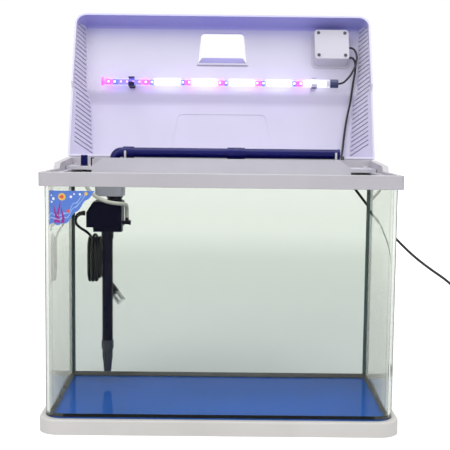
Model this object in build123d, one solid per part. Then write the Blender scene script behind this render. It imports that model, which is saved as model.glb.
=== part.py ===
from build123d import *
import math
import os

# Panoramic aquarium: glass tank with one bent front pane, a filter tray across the rear,
# a hanging pump, and a hood with an LED tube that opens on a rear hinge.
# X runs to the right, Y to the rear, Z up. The origin is the middle of the base's underside.

# Tank
glass_width = 502.0
glass_depth = 252.0
glass_thickness = 5.0
glass_corner_radius = 28.0
glass_height = 351.0
bottom_glass_thickness = 6.0
mat_thickness = 2.0
mat_edge_gap = 1.0
bottom_edge_gap = 0.6
bead_size = 5.0
bead_tip = 0.4
glass_fit = 0.5

# Base frame
base_wall = 7.5
base_corner_radius = 30.0
base_height = 22.0
base_platform_top = 15.0
base_platform_thickness = 3.0
base_rib = 3.0
base_pockets_x = 8
base_pockets_y = 4
base_edge_round = 3.0

# Top frame
frame_wall = 3.5
frame_corner_radius = 6.0
frame_skirt = 13.0
frame_flange = 3.0
frame_flange_reach = 15.5
frame_rim_height = 4.0
frame_rim_width = 9.0
frame_step_y = 0.0
frame_step_length = 9.0
frame_step_rise = 8.0
frame_rear_rise = 13.0
frame_edge_round = 1.2

# Filter tray
tray_depth = 53.5
tray_flange_gap = 2.5
tray_bottom_drop = 24.0
tray_wall = 2.5
tray_shelf_length = 40.0
tray_shelf_gap = 1.0
tray_shoulder = 18.0
tray_shelf_rise = 5.5
tray_top_rise = 19.0
tray_lip_gap = 0.5
tray_boss_end_gap = 12.0
tray_boss_rear_gap = 35.5
tray_boss_diameter = 8.0
tray_boss_height = 3.0
tray_screw_hole = 2.2
tray_slot_length = 20.0
tray_slot_width = 3.0
tray_slot_pitch = 28.0
tray_slot_count = 11
tray_slot_end_gap = 25.0
fork_inset_left = 2.4
fork_inset_right = 3.0
fork_mouth = 9.0
fork_thickness = 3.0
fork_half_depth = 12.0
fork_rise = 3.0
fork_gap = 0.3
sponge_height = 22.0
sponge_gap = 1.0
sponge_fork_gap = 15.5

# Spray bar and riser
line_inset = 20.0
spray_z = 396.6
spray_diameter = 15.6
spray_wall = 1.8
riser_inset = 34.5
elbow_bend = 11.0
elbow_reach = 15.1
sleeve_diameter = 18.6
sleeve_overlap = 1.5
sleeve_length = 17.3
sleeve_fit = 0.03
spray_joint_x = 21.0
coupler_length = 23.0
coupler_neck = 1.0
coupler_ring_width = 2.2
spray_end_gap = 20.0
spray_plug_flange = 4.0
spray_plug_length = 10.0
spray_plug_lip = 0.4
spray_hole_diameter = 2.5
spray_hole_pitch = 14.0
spray_hole_margin = 20.0
spray_hole_tilt = 40.0

# Pump
socket_left_reach = 29.5
socket_right_reach = 15.5
socket_half_depth = 19.0
socket_height = 18.0
socket_wall = 2.5
socket_corner_radius = 5.0
coupling_diameter = 25.6
coupling_height = 9.0
coupling_groove = 1.4
pump_front_reach = 18.0
pump_cover_depth = 25.0
pump_motor_depth = 25.0
pump_left_reach = 43.5
pump_right_reach = 12.7
pump_base_inset = 11.0
pump_height = 41.0
pump_shoulder_rise = 24.0
pump_shoulder_inset = 11.0
pump_base_height = 7.0
rotor_inset = 28.0
rotor_rise = 20.0
volute_radius = 16.0
volute_depth = 16.0
impeller_radius = 14.0
impeller_blade_count = 6
impeller_blade_thickness = 1.6
impeller_height = 9.0
impeller_disc = 2.0
rotor_radius = 8.0
rotor_length = 20.0
rotor_gap = 1.0
shaft_radius = 1.5
shaft_running_fit = 0.05
bush_radius = 4.0
bush_length = 3.0
bush_end_gap = 0.3
water_bore_radius = 6.0

# Intake
intake_offset = 11.5
intake_diameter = 17.0
intake_wall = 2.0
intake_collar_diameter = 19.4
intake_collar_height = 12.0
intake_spigot = 6.0
intake_bottom_z = 92.0
strainer_collar_height = 14.0
strainer_collar_diameter = 19.6
strainer_height = 17.0
strainer_diameter = 16.6
strainer_slot_width = 1.6
strainer_slot_count = 10
strainer_slot_margin = 2.5
nozzle_height = 20.0
nozzle_top_diameter = 15.0
nozzle_tip_diameter = 12.0
nozzle_bore = 8.0

# Venturi, air tube and air valve
venturi_rise = 7.0
venturi_diameter = 6.0
venturi_cap_diameter = 8.0
venturi_cap_length = 3.0
venturi_reach = 13.2
venturi_barb_inset = 6.2
venturi_grip = 4.0
venturi_barb_height = 13.0
air_tube_bore = 4.4
barb_fit = 0.1
barb_grip = 5.0
air_tube_diameter = 6.0
valve_tray_gap = 13.8
valve_front_offset = 3.0
valve_stem_diameter = 7.0
valve_flange_diameter = 13.0
valve_flange = 1.4
valve_body_drop = 8.0
valve_barb_length = 6.0
knob_diameter = 11.0
knob_height = 15.5
knob_clearance = 0.3
knob_pivot_diameter = 4.0
knob_pivot_height = 9.0
knob_running_fit = 0.06
knob_grip_count = 12
knob_grip_radius = 0.9
hook_height = 12.0
hook_width = 4.0
hook_thickness = 1.6

# Pump lead
lead_diameter = 4.5
winding_pitch = 6.2
layer_pitch = 5.2
hank_run = 30.0
hank_inner_reach = 14.0
hank_layers = 4
hank_loops_in_layer = 2
hank_intake_gap = 22.05
hank_rear_offset = 15.0
hank_z = 224.0
gland_split_gap = 8.0
gland_rise = 20.0
gland_length = 6.0
gland_diameter = 8.0
pump_plug_length = 27.0
pump_plug_width = 15.0
pump_plug_depth = 12.0
pin_diameter = 4.0
pin_length = 16.0
pin_spacing = 8.0
pin_cover_wall = 0.8
pin_cover_gap = 0.8

# Hood, given closed
hood_wall = 3.0
hood_gap = 0.4
hood_front_height = 43.0
hood_panel_slope = 5.9
hood_step_y = -7.0
hood_step_length = 16.0
hood_step_rise = 14.0
hood_rear_slope = 9.0
hood_rear_round = 14.0
hood_front_round = 8.5
hood_corner_radius = 20.0
hood_side_slope = 23.5
hinge_reach = 3.0
hood_open_angle = 113.6
hinge_side_gap = 105.0
knuckle_radius = 4.0
knuckle_half_length = 8.0
knuckle_end_gap = 0.3
ear_thickness = 4.0
ear_drop = 10.0
hinge_pin_radius = 1.5
hinge_fit = 0.05
knuckle_clearance = 0.5
vent_count = 28
vent_pitch = 8.0
vent_front_gap = 13.0
vent_width = 2.6
vent_rim_gap = 12.0
vent_panel_gap = 5.0
recess_depth = 1.0
recess_length = 81.0
recess_rear_gap = 22.0
recess_front_half_width = 76.0
recess_rear_half_width = 92.0
cord_side_gap = 53.0
cord_notch_width = 9.0
cord_notch_height = 9.0

# Feed door
feed_front_gap = 13.0
feed_length = 56.0
feed_front_half_width = 37.5
feed_sill_half_width = 42.5
feed_corner_radius = 7.0
feed_gap = 0.5
feed_door_thickness = 2.4
feed_open_angle = 59.0
feed_knuckle_radius = 2.6
feed_pin_radius = 1.0
feed_fit = 0.05
feed_ear_thickness = 4.0
feed_ear_gap = 0.3

# Light
tube_step_gap = 8.8
tube_rise = 31.0
tube_left_gap = 50.0
tube_right_gap = 69.0
tube_diameter = 13.0
tube_wall = 1.0
cap_length = 14.0
cap_diameter = 14.6
cap_plug = 6.0
cap_fit = 0.1
cap_socket = 2.0
strip_width = 9.0
strip_thickness = 1.2
strip_end_gap = 6.2
chip_size = 3.2
chip_thickness = 1.2
chip_end_gap = 8.8
chip_far_gap = 7.7
chip_pattern = "PBVVVVPBWWWWBPWWWWPBWWWWPBWWWWBPWWWW"
clip_left_inset = 48.7
clip_right_inset = 27.7
clip_width = 10.0
clip_wall = 2.2
clip_fit = 0.1
clip_mouth = 8.0
clip_stem = 6.0

# Driver box
driver_width = 60.0
driver_side_gap = 35.0
driver_front_gap = 16.0
driver_depth = 57.0
driver_face_rise = 18.0
driver_cover_height = 8.0
driver_wall = 2.0
driver_corner_radius = 6.0
driver_flange = 4.0
driver_flange_thickness = 2.0
driver_screw_inset = 7.0
driver_screw_radius = 1.5
driver_screw_head_radius = 2.8
driver_screw_head_height = 1.2
driver_screw_length = 10.0
driver_post_radius = 4.0
board_thickness = 1.6
board_gap = 5.0

# Cords
hood_lead_diameter = 3.6
power_cord_diameter = 4.5
coil_inner_reach = 18.5
coil_loops_in_layer = 3
coil_layers = 2
coil_x = 448.0
coil_y = 178.0
power_plug_length = 36.0
power_plug_width = 18.0
power_plug_depth = 14.0
power_plug_pin_length = 18.0
power_plug_pin_spacing = 14.0
cord_clip_width = 8.0
cord_clip_drop = 13.0
cord_clip_wall = 2.0
bend_share = 0.45

# Levels and spans that follow from the sizes above
floor_top = base_platform_top + mat_thickness + bottom_glass_thickness
glass_top = base_platform_top + glass_height
frame_bottom = glass_top - frame_skirt
flange_top = glass_top + frame_flange
frame_top = flange_top + frame_rim_height
frame_step_top = frame_top + frame_step_rise
frame_rear_top = frame_top + frame_rear_rise
frame_width = glass_width + 2 * glass_fit + 2 * frame_wall
frame_depth = glass_depth + 2 * glass_fit + 2 * frame_wall
base_width = glass_width + 2 * glass_fit + 2 * base_wall
base_depth = glass_depth + 2 * glass_fit + 2 * base_wall
half_frame_width = frame_width / 2
half_frame_depth = frame_depth / 2
rear_glass_y = glass_depth / 2 - glass_thickness
tray_bottom = flange_top - tray_bottom_drop
shelf_top = flange_top + tray_shelf_rise
tray_top = flange_top + tray_top_rise
tray_shelf_half_width = half_frame_width - frame_rim_width - tray_shelf_gap
tray_low_half_width = tray_shelf_half_width - tray_shelf_length
tray_top_half_width = tray_low_half_width - tray_shoulder
tray_rear_y = half_frame_depth - frame_wall - frame_flange_reach - tray_flange_gap
tray_front_y = tray_rear_y - tray_depth
tray_lip_rear_y = half_frame_depth - frame_rim_width - tray_lip_gap
tray_boss_x = tray_shelf_half_width - tray_boss_end_gap
tray_boss_y = tray_lip_rear_y - tray_boss_rear_gap
tray_slot_first_x = tray_low_half_width - tray_slot_end_gap - (tray_slot_count - 1) * tray_slot_pitch
line_y = tray_front_y + line_inset
riser_x = riser_inset - tray_low_half_width
elbow_end_x = riser_x + elbow_reach
spray_right_x = tray_low_half_width - spray_end_gap
socket_left_x = riser_x - socket_left_reach
socket_right_x = riser_x + socket_right_reach
pump_front_y = line_y - pump_front_reach
pump_split_y = pump_front_y + pump_cover_depth
pump_rear_y = pump_split_y + pump_motor_depth
pump_left_x = riser_x - pump_left_reach
pump_right_x = riser_x + pump_right_reach
pump_base_left_x = pump_left_x + pump_base_inset
pump_shoulder_x = pump_left_x + pump_shoulder_inset
intake_x = riser_x - intake_offset
valve_x = -tray_low_half_width - valve_tray_gap
valve_y = line_y - valve_front_offset
socket_bottom = tray_bottom - socket_height
pump_top = socket_bottom - coupling_height
pump_bottom = pump_top - pump_height
rotor_z = pump_bottom + rotor_rise
intake_top = pump_bottom - pump_base_height
venturi_z = pump_bottom + venturi_rise
venturi_barb_top = venturi_z + venturi_barb_height
gland_y = pump_split_y + gland_split_gap
gland_z = pump_bottom + gland_rise
hank_x = intake_x - hank_intake_gap
hank_y = line_y + hank_rear_offset
hinge_x = half_frame_width - hinge_side_gap
hinge_y = half_frame_depth + hinge_reach
hinge_z = frame_rear_top
hinge_axis = Axis((0, hinge_y, hinge_z), (1, 0, 0))
sleeve_left_x = elbow_end_x - sleeve_overlap
sleeve_right_x = sleeve_left_x + sleeve_length
coupler_left_x = spray_joint_x - coupler_length / 2
coupler_right_x = spray_joint_x + coupler_length / 2
fork_x = (elbow_end_x + fork_inset_left, spray_right_x - fork_inset_right)
rotor_x = pump_left_x + rotor_inset
venturi_end_x = pump_right_x + venturi_reach
venturi_barb_x = venturi_end_x - venturi_barb_inset
sponge_left_x = fork_x[0] + fork_thickness / 2 + sponge_fork_gap
vent_first_y = vent_front_gap - half_frame_depth
recess_rear_y = half_frame_depth - recess_rear_gap
recess_front_y = recess_rear_y - recess_length
cord_x = half_frame_width - cord_side_gap
feed_front_y = feed_front_gap - half_frame_depth
feed_sill_y = feed_front_y + feed_length
tube_y = hood_step_y - tube_step_gap
tube_z = frame_top + tube_rise
tube_left_x = tube_left_gap - half_frame_width
tube_right_x = half_frame_width - tube_right_gap
clip_x = (tube_left_x + clip_left_inset, tube_right_x - clip_right_inset)
chip_first_x = tube_left_x + chip_end_gap
chip_pitch = (tube_right_x - chip_far_gap - chip_first_x) / (len(chip_pattern) - 1)
driver_right_x = half_frame_width - driver_side_gap
driver_left_x = driver_right_x - driver_width
driver_front_y = driver_front_gap - half_frame_depth
driver_rear_y = driver_front_y + driver_depth
driver_face_z = frame_top + driver_face_rise
barb_radius = air_tube_bore / 2 - barb_fit


def block(x0, x1, y0, y1, z0, z1):
    """A box between two corners."""
    return Pos((x0 + x1) / 2, (y0 + y1) / 2, (z0 + z1) / 2) * Box(x1 - x0, y1 - y0, z1 - z0)


def rod_x(x0, x1, y, z, radius):
    """A cylinder along X."""
    return Pos((x0 + x1) / 2, y, z) * Rot(0, 90, 0) * Cylinder(radius, x1 - x0)


def rod_y(x, y0, y1, z, radius):
    """A cylinder along Y."""
    return Pos(x, (y0 + y1) / 2, z) * Rot(90, 0, 0) * Cylinder(radius, y1 - y0)


def rod_z(x, y, z0, z1, radius):
    """A cylinder along Z."""
    return Pos(x, y, (z0 + z1) / 2) * Cylinder(radius, z1 - z0)


def profile_x(points, x0, x1):
    """A side outline of (y, z) points, carried along X."""
    face = make_face(Polyline([(x0, y, z) for y, z in points], close=True))
    return extrude(face, x1 - x0, dir=(1, 0, 0))


def profile_y(points, y0, y1):
    """A front outline of (x, z) points, carried along Y."""
    face = make_face(Polyline([(x, y0, z) for x, z in points], close=True))
    return extrude(face, y1 - y0, dir=(0, 1, 0))


def tank_outline(inset, rear_y):
    """The tank's plan inside the glass face by inset: round front corners, square at rear_y."""
    front_y = inset - glass_depth / 2
    plan = Pos(0, (front_y + rear_y) / 2) * Rectangle(glass_width - 2 * inset, rear_y - front_y)
    return fillet(plan.vertices().sort_by(Axis.Y)[:2], glass_corner_radius - inset)


def slab(plan, z0, z1):
    """A plan outline carried up from z0 to z1."""
    return extrude(Pos(0, 0, z0) * plan, z1 - z0)


def make_base_frame():
    plan = RectangleRounded(base_width, base_depth, base_corner_radius)
    ring = slab(plan, 0, base_height)
    ring = fillet(ring.faces().sort_by(Axis.Z)[-1].edges(), base_edge_round)
    seat = tank_outline(-glass_fit, glass_depth / 2 + glass_fit)
    ring -= slab(seat, base_platform_top, base_height + 1)
    room_x = (glass_width - base_rib * (base_pockets_x - 1)) / base_pockets_x
    room_y = (glass_depth - base_rib * (base_pockets_y - 1)) / base_pockets_y
    pocket_top = base_platform_top - base_platform_thickness
    for i in range(base_pockets_x):
        for j in range(base_pockets_y):
            x = (i - (base_pockets_x - 1) / 2) * (room_x + base_rib)
            y = (j - (base_pockets_y - 1) / 2) * (room_y + base_rib)
            pocket = Pos(x, y) * RectangleRounded(room_x, room_y, base_corner_radius / 2)
            ring -= slab(pocket, -1, pocket_top)
    return ring


def make_bent_front_glass():
    outer = slab(tank_outline(0, rear_glass_y), base_platform_top, glass_top)
    inner = tank_outline(glass_thickness, rear_glass_y + 1)
    return outer - slab(inner, base_platform_top - 1, glass_top + 1)


def make_rear_glass():
    half = glass_width / 2
    return block(-half, half, rear_glass_y, glass_depth / 2, base_platform_top, glass_top)


def make_base_mat():
    plan = tank_outline(glass_thickness + mat_edge_gap, rear_glass_y - mat_edge_gap)
    return slab(plan, base_platform_top, base_platform_top + mat_thickness)


def make_bottom_glass():
    plan = tank_outline(glass_thickness + bottom_edge_gap, rear_glass_y - bottom_edge_gap)
    return slab(plan, base_platform_top + mat_thickness, floor_top)


def make_bottom_seal():
    outer = slab(tank_outline(glass_thickness, rear_glass_y), floor_top, floor_top + bead_size)
    reach = glass_thickness + bead_size
    low = Pos(0, 0, floor_top) * tank_outline(reach, rear_glass_y - bead_size)
    high_inset = glass_thickness + bead_tip
    high = Pos(0, 0, floor_top + bead_size) * tank_outline(high_inset, rear_glass_y - bead_tip)
    return outer - loft([low.face(), high.face()], ruled=True)


def make_rear_seal(side):
    wall = side * (glass_width / 2 - glass_thickness)
    corner = (wall, rear_glass_y)
    along_wall = (wall, rear_glass_y - bead_size)
    along_rear = (wall - side * bead_size, rear_glass_y)
    middle = (wall - side * bead_size * 0.3, rear_glass_y - bead_size * 0.3)
    edge = Line(along_wall, corner) + Line(corner, along_rear)
    edge += ThreePointArc(along_rear, middle, along_wall)
    return slab(make_face(edge), floor_top + bead_size, glass_top)


def make_top_frame():
    half_w = half_frame_width
    side = [
        (-half_frame_depth, frame_bottom),
        (half_frame_depth, frame_bottom),
        (half_frame_depth, frame_rear_top),
        (frame_step_y + frame_step_length, frame_step_top),
        (frame_step_y, frame_top),
        (-half_frame_depth, frame_top),
    ]
    body = profile_x(side, -half_w, half_w)
    plan = RectangleRounded(frame_width, frame_depth, frame_corner_radius)
    body &= slab(plan, frame_bottom - 1, frame_rear_top + 1)
    front_edges = body.faces().sort_by(Axis.Y)[0].edges().filter_by(Axis.X)
    body = fillet(front_edges, frame_edge_round)
    seat = tank_outline(-glass_fit, glass_depth / 2 + glass_fit)
    body -= slab(seat, frame_bottom - 1, glass_top)
    mouth_w = half_w - frame_rim_width
    mouth_d = half_frame_depth - frame_rim_width
    body -= block(-mouth_w, mouth_w, -mouth_d, mouth_d, flange_top, frame_rear_top + 1)
    open_w = mouth_w + frame_rim_width - frame_wall - frame_flange_reach
    open_d = half_frame_depth - frame_wall - frame_flange_reach
    body -= block(-open_w, open_w, -open_d, open_d, glass_top - 1, flange_top + 1)
    for side_x in (-hinge_x, hinge_x):
        reach = knuckle_half_length + knuckle_end_gap
        turn = knuckle_radius + knuckle_clearance
        body -= rod_x(side_x - reach, side_x + reach, hinge_y, hinge_z, turn)
        for x0 in (side_x - reach - ear_thickness, side_x + reach):
            x1 = x0 + ear_thickness
            body += rod_x(x0, x1, hinge_y, hinge_z, knuckle_radius)
            body += block(x0, x1, half_frame_depth - 1, hinge_y, hinge_z - ear_drop, hinge_z)
        span = reach + ear_thickness
        body -= rod_x(side_x - span - 1, side_x + span + 1, hinge_y, hinge_z, hinge_pin_radius)
    return body


def tray_profile(inset, lift):
    """The tray's front outline, inset from its faces, and open upwards where lift is above 0."""
    low = tray_low_half_width - inset
    high = tray_top_half_width - inset
    bottom = tray_bottom + inset
    side = shelf_top - inset
    top = tray_top - inset + lift
    right = [(low, bottom), (low, side), (high, tray_top - inset), (high, top)]
    if lift == 0:
        right = right[:3]
    return right + [(-x, z) for x, z in reversed(right)]


def make_filter_tray():
    tray = profile_y(tray_profile(0, 0), tray_front_y, tray_rear_y)
    inner = profile_y(tray_profile(tray_wall, 20), tray_front_y + tray_wall, tray_rear_y - tray_wall)
    for side in (-1, 1):
        x0, x1 = sorted((side * (tray_low_half_width - 1), side * tray_shelf_half_width))
        shelf = block(x0, x1, tray_front_y, tray_lip_rear_y, flange_top, shelf_top)
        under0, under1 = sorted(
            (side * tray_low_half_width, side * (tray_shelf_half_width - tray_wall))
        )
        shelf -= block(
            under0,
            under1,
            tray_front_y + tray_wall,
            tray_lip_rear_y - tray_wall,
            flange_top - 1,
            shelf_top - tray_wall,
        )
        tray += shelf
        boss_x = side * tray_boss_x
        boss_top = shelf_top + tray_boss_height
        tray += rod_z(boss_x, tray_boss_y, shelf_top - 1, boss_top, tray_boss_diameter / 2)
        tray -= rod_z(boss_x, tray_boss_y, shelf_top - 1, boss_top + 1, tray_screw_hole / 2)
    low = tray_low_half_width
    tray += block(-low, low, tray_rear_y - tray_wall, tray_lip_rear_y, flange_top, flange_top + tray_wall)
    tray -= inner
    for x in fork_x:
        x0 = x - fork_thickness / 2
        fork = block(
            x0,
            x0 + fork_thickness,
            line_y - fork_half_depth,
            line_y + fork_half_depth,
            tray_bottom + tray_wall / 2,
            spray_z + fork_rise,
        )
        held = sleeve_diameter if x == fork_x[0] else spray_diameter
        bore = held / 2 + fork_gap
        fork -= rod_x(x0 - 1, x0 + fork_thickness + 1, line_y, spray_z, bore)
        mouth_top = spray_z + fork_mouth
        fork -= block(x0 - 1, x0 + fork_thickness + 1, line_y - bore, line_y + bore, spray_z, mouth_top)
        tray += fork
    for i in range(tray_slot_count):
        x = tray_slot_first_x + i * tray_slot_pitch
        for y in (line_y - 8, line_y + 16):
            slot = Pos(x, y) * SlotOverall(tray_slot_length, tray_slot_width)
            tray -= slab(slot, tray_bottom - 1, tray_bottom + tray_wall + 1)
    riser_hole = spray_diameter / 2 + fork_gap
    tray -= rod_z(riser_x, line_y, tray_bottom - 1, tray_bottom + tray_wall + 1, riser_hole)
    valve_hole = valve_stem_diameter / 2 + fork_gap
    tray -= rod_z(valve_x, valve_y, flange_top - 1, shelf_top + 1, valve_hole)
    return tray


def make_filter_sponge():
    inset = tray_wall + sponge_gap
    z0 = tray_bottom + tray_wall
    right = fork_x[1] - fork_thickness / 2 - sponge_gap
    return block(
        sponge_left_x, right, tray_front_y + inset, tray_rear_y - inset, z0, z0 + sponge_height
    )


def make_tray_hook():
    """A small bent strip hooked over the tray's left shoulder."""
    foot = shelf_top
    x1 = -tray_low_half_width - 0.05
    y0 = tray_front_y + 4
    upright = block(x1 - hook_thickness, x1, y0, y0 + hook_width, foot, foot + hook_height)
    arm = block(x1 - hook_thickness, x1 + 3, y0, y0 + hook_width, foot + hook_height, foot + hook_height + 1.6)
    return upright + arm


def make_pump_socket():
    width = socket_right_x - socket_left_x
    middle = (socket_left_x + socket_right_x) / 2
    plan = Pos(middle, line_y) * RectangleRounded(width, 2 * socket_half_depth, socket_corner_radius)
    inner = Pos(middle, line_y) * RectangleRounded(
        width - 2 * socket_wall, 2 * (socket_half_depth - socket_wall), socket_corner_radius / 2
    )
    box = slab(plan, socket_bottom, tray_bottom)
    box -= slab(inner, socket_bottom + socket_wall, tray_bottom + 1)
    bore = spray_diameter / 2 + fork_gap
    return box - rod_z(riser_x, line_y, socket_bottom - 1, tray_bottom, bore)


def make_outlet_coupler():
    """Rubber sleeve with a groove, between pump and socket."""
    body = rod_z(riser_x, line_y, pump_top, socket_bottom, coupling_diameter / 2)
    third = coupling_height / 3
    groove = rod_z(riser_x, line_y, pump_top + third, socket_bottom - third, coupling_diameter)
    groove -= rod_z(
        riser_x, line_y, pump_top, socket_bottom, coupling_diameter / 2 - coupling_groove
    )
    body -= groove
    bore = spray_diameter / 2 + sleeve_fit
    return body - rod_z(riser_x, line_y, pump_top - 1, socket_bottom + 1, bore)


def make_spray_elbow():
    """Riser pipe and elbow in one bent tube."""
    low = pump_top
    turn = FilletPolyline(
        (riser_x, line_y, low), (riser_x, line_y, spray_z), (elbow_end_x, line_y, spray_z), radius=elbow_bend
    )
    start = Plane(origin=(riser_x, line_y, low), z_dir=(0, 0, 1))
    outer = sweep(start * Circle(spray_diameter / 2), path=turn)
    inner = sweep(start * Circle(spray_diameter / 2 - spray_wall), path=turn)
    return outer - inner


def pipe_x(x0, x1, outer_diameter, inner_diameter):
    """A straight pipe on the spray bar's line."""
    body = rod_x(x0, x1, line_y, spray_z, outer_diameter / 2)
    return body - rod_x(x0 - 1, x1 + 1, line_y, spray_z, inner_diameter / 2)


def make_elbow_sleeve():
    return pipe_x(sleeve_left_x, sleeve_right_x, sleeve_diameter, spray_diameter + 2 * sleeve_fit)


def make_spray_pipe(x0, x1):
    body = pipe_x(x0, x1, spray_diameter, spray_diameter - 2 * spray_wall)
    first = x0 + spray_hole_margin
    count = int((x1 - spray_hole_margin - first) / spray_hole_pitch) + 1
    for i in range(count):
        x = first + i * spray_hole_pitch
        hole = Rot(-spray_hole_tilt, 0, 0) * rod_z(0, 0, -spray_diameter, 0, spray_hole_diameter / 2)
        body -= Pos(x, line_y, spray_z) * hole
    return body


def make_spray_coupler():
    sleeve = pipe_x(coupler_left_x, coupler_right_x, sleeve_diameter, spray_diameter + 2 * sleeve_fit)
    ring_x = coupler_right_x + coupler_ring_width
    ring = pipe_x(
        ring_x, ring_x + coupler_ring_width, sleeve_diameter, spray_diameter + 2 * sleeve_fit
    )
    return sleeve + ring + pipe_x(
        coupler_right_x - 1, ring_x + 1, sleeve_diameter - coupler_neck, spray_diameter + 2 * sleeve_fit
    )


def make_spray_end_plug():
    rim = spray_diameter / 2 + spray_plug_lip
    flange = rod_x(spray_right_x, spray_right_x + spray_plug_flange, line_y, spray_z, rim)
    bore = spray_diameter / 2 - spray_wall - sleeve_fit
    return flange + rod_x(spray_right_x - spray_plug_length, spray_right_x, line_y, spray_z, bore)


def pump_outline(inset):
    return [
        (pump_left_x + inset, pump_bottom + inset),
        (pump_right_x - inset, pump_bottom + inset),
        (pump_right_x - inset, pump_top - inset),
        (pump_shoulder_x + inset / 2, pump_top - inset),
        (pump_left_x + inset, pump_bottom + pump_shoulder_rise - inset / 2),
    ]


def make_pump_cover():
    """Front half of the pump with the impeller chamber, the outlet and the intake foot."""
    body = profile_y(pump_outline(0), pump_front_y, pump_split_y)
    body = fillet(body.faces().sort_by(Axis.Y)[0].edges(), 2.0)
    foot = block(
        pump_base_left_x, pump_right_x, pump_front_y + 2, pump_split_y, intake_top, pump_bottom + 1
    )
    body += foot
    chamber_y = pump_split_y - volute_depth
    body -= rod_y(rotor_x, chamber_y, pump_split_y + 1, rotor_z, volute_radius)
    body -= rod_z(riser_x, line_y, rotor_z, pump_top + 1, water_bore_radius)
    body -= rod_z(intake_x, line_y, intake_top - 1, rotor_z, water_bore_radius)
    spigot = intake_diameter / 2 - intake_wall - sleeve_fit
    body += rod_z(intake_x, line_y, intake_top - intake_spigot, intake_top, spigot) - rod_z(
        intake_x, line_y, intake_top - intake_spigot - 1, intake_top + 1, water_bore_radius - 1
    )
    seat_y = chamber_y
    body += rod_y(rotor_x, seat_y - 1, seat_y + bush_length, rotor_z, bush_radius + 2) - rod_y(
        rotor_x, seat_y, seat_y + bush_length + 1, rotor_z, bush_radius
    )
    bore = venturi_diameter / 2
    return body - rod_x(pump_right_x - venturi_grip, pump_right_x + 1, line_y, venturi_z, bore)


def make_pump_motor():
    """Rear half of the pump: the potted motor with the rotor's well."""
    body = profile_y(pump_outline(0), pump_split_y, pump_rear_y)
    body = fillet(body.faces().sort_by(Axis.Y)[-1].edges(), 2.0)
    well_y = pump_split_y + rotor_length + bush_length
    body -= rod_y(rotor_x, pump_split_y - 1, well_y, rotor_z, rotor_radius + rotor_gap)
    return body


def impeller_front_y():
    return pump_split_y - volute_depth + bush_length + bush_end_gap


def rotor_rear_y():
    return pump_split_y + rotor_length - bush_end_gap


def make_impeller():
    """Blades on a disc, with the rotor magnet behind, all on one bore."""
    y0 = impeller_front_y()
    disc_y = y0 + impeller_height
    body = rod_y(rotor_x, disc_y - impeller_disc, disc_y, rotor_z, impeller_radius)
    body += rod_y(rotor_x, y0, disc_y, rotor_z, shaft_radius + 2)
    for i in range(impeller_blade_count):
        blade = block(
            shaft_radius + 1,
            impeller_radius,
            y0,
            disc_y - impeller_disc / 2,
            -impeller_blade_thickness / 2,
            impeller_blade_thickness / 2,
        )
        body += Pos(rotor_x, 0, rotor_z) * Rot(0, i * 360 / impeller_blade_count, 0) * blade
    body += rod_y(rotor_x, disc_y, rotor_rear_y(), rotor_z, rotor_radius)
    bore = shaft_radius + shaft_running_fit
    return body - rod_y(rotor_x, y0 - 1, rotor_rear_y() + 1, rotor_z, bore)


def make_rotor_shaft():
    front = pump_split_y - volute_depth
    rear = pump_split_y + rotor_length + bush_length
    return rod_y(rotor_x, front, rear, rotor_z, shaft_radius)


def make_rotor_bushes():
    front = pump_split_y - volute_depth
    rear = pump_split_y + rotor_length + bush_length
    bush = rod_y(rotor_x, front, front + bush_length, rotor_z, bush_radius)
    back = rod_y(rotor_x, rear - bush_length, rear, rotor_z, rotor_radius + rotor_gap)
    shaft = make_rotor_shaft()
    return [bush - shaft, back - shaft]


def make_intake_pipe():
    outer = rod_z(intake_x, line_y, intake_bottom_z, intake_top, intake_diameter / 2)
    outer += rod_z(
        intake_x, line_y, intake_top - intake_collar_height, intake_top, intake_collar_diameter / 2
    )
    bore = intake_diameter / 2 - intake_wall
    return outer - rod_z(intake_x, line_y, intake_bottom_z - 1, intake_top + 1, bore)


def make_strainer():
    """Collar, slotted basket and tapered nozzle in one piece."""
    top = intake_bottom_z
    collar_low = top - strainer_collar_height
    basket_low = collar_low - strainer_height
    tip = basket_low - nozzle_height
    body = rod_z(intake_x, line_y, collar_low, top, strainer_collar_diameter / 2)
    body += rod_z(intake_x, line_y, basket_low, collar_low, strainer_diameter / 2)
    cone = Cone(nozzle_tip_diameter / 2, nozzle_top_diameter / 2, nozzle_height)
    body += Pos(intake_x, line_y, (basket_low + tip) / 2) * cone
    bore = intake_diameter / 2 - intake_wall
    body -= rod_z(intake_x, line_y, basket_low + 1, top + 1, bore)
    body -= rod_z(intake_x, line_y, tip - 1, basket_low + 2, nozzle_bore / 2)
    slot_low = basket_low + strainer_slot_margin
    slot_high = collar_low - strainer_slot_margin
    for i in range(strainer_slot_count):
        half = strainer_slot_width / 2
        slot = block(bore - 2, strainer_diameter, -half, half, slot_low, slot_high)
        body -= Pos(intake_x, line_y, 0) * Rot(0, 0, i * 360 / strainer_slot_count) * slot
    return body


def make_venturi_tee():
    body = rod_x(pump_right_x - venturi_grip, venturi_end_x, line_y, venturi_z, venturi_diameter / 2)
    body += rod_x(
        venturi_end_x - venturi_cap_length, venturi_end_x, line_y, venturi_z, venturi_cap_diameter / 2
    )
    shoulder = venturi_barb_top - barb_grip
    body += rod_z(venturi_barb_x, line_y, venturi_z, shoulder, venturi_diameter / 2)
    return body + rod_z(venturi_barb_x, line_y, venturi_z, venturi_barb_top, barb_radius)


def route_radii(points, share=bend_share):
    """Radius of each corner's arc: a share of the shorter run, over the tangent of half the turn."""
    places = [Vector(*p) for p in points]
    radii = []
    for a, b, c in zip(places, places[1:], places[2:]):
        turn = math.radians((b - a).get_angle(c - b))
        radii.append(share * min((b - a).length, (c - b).length) / math.tan(turn / 2))
    return radii


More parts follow.
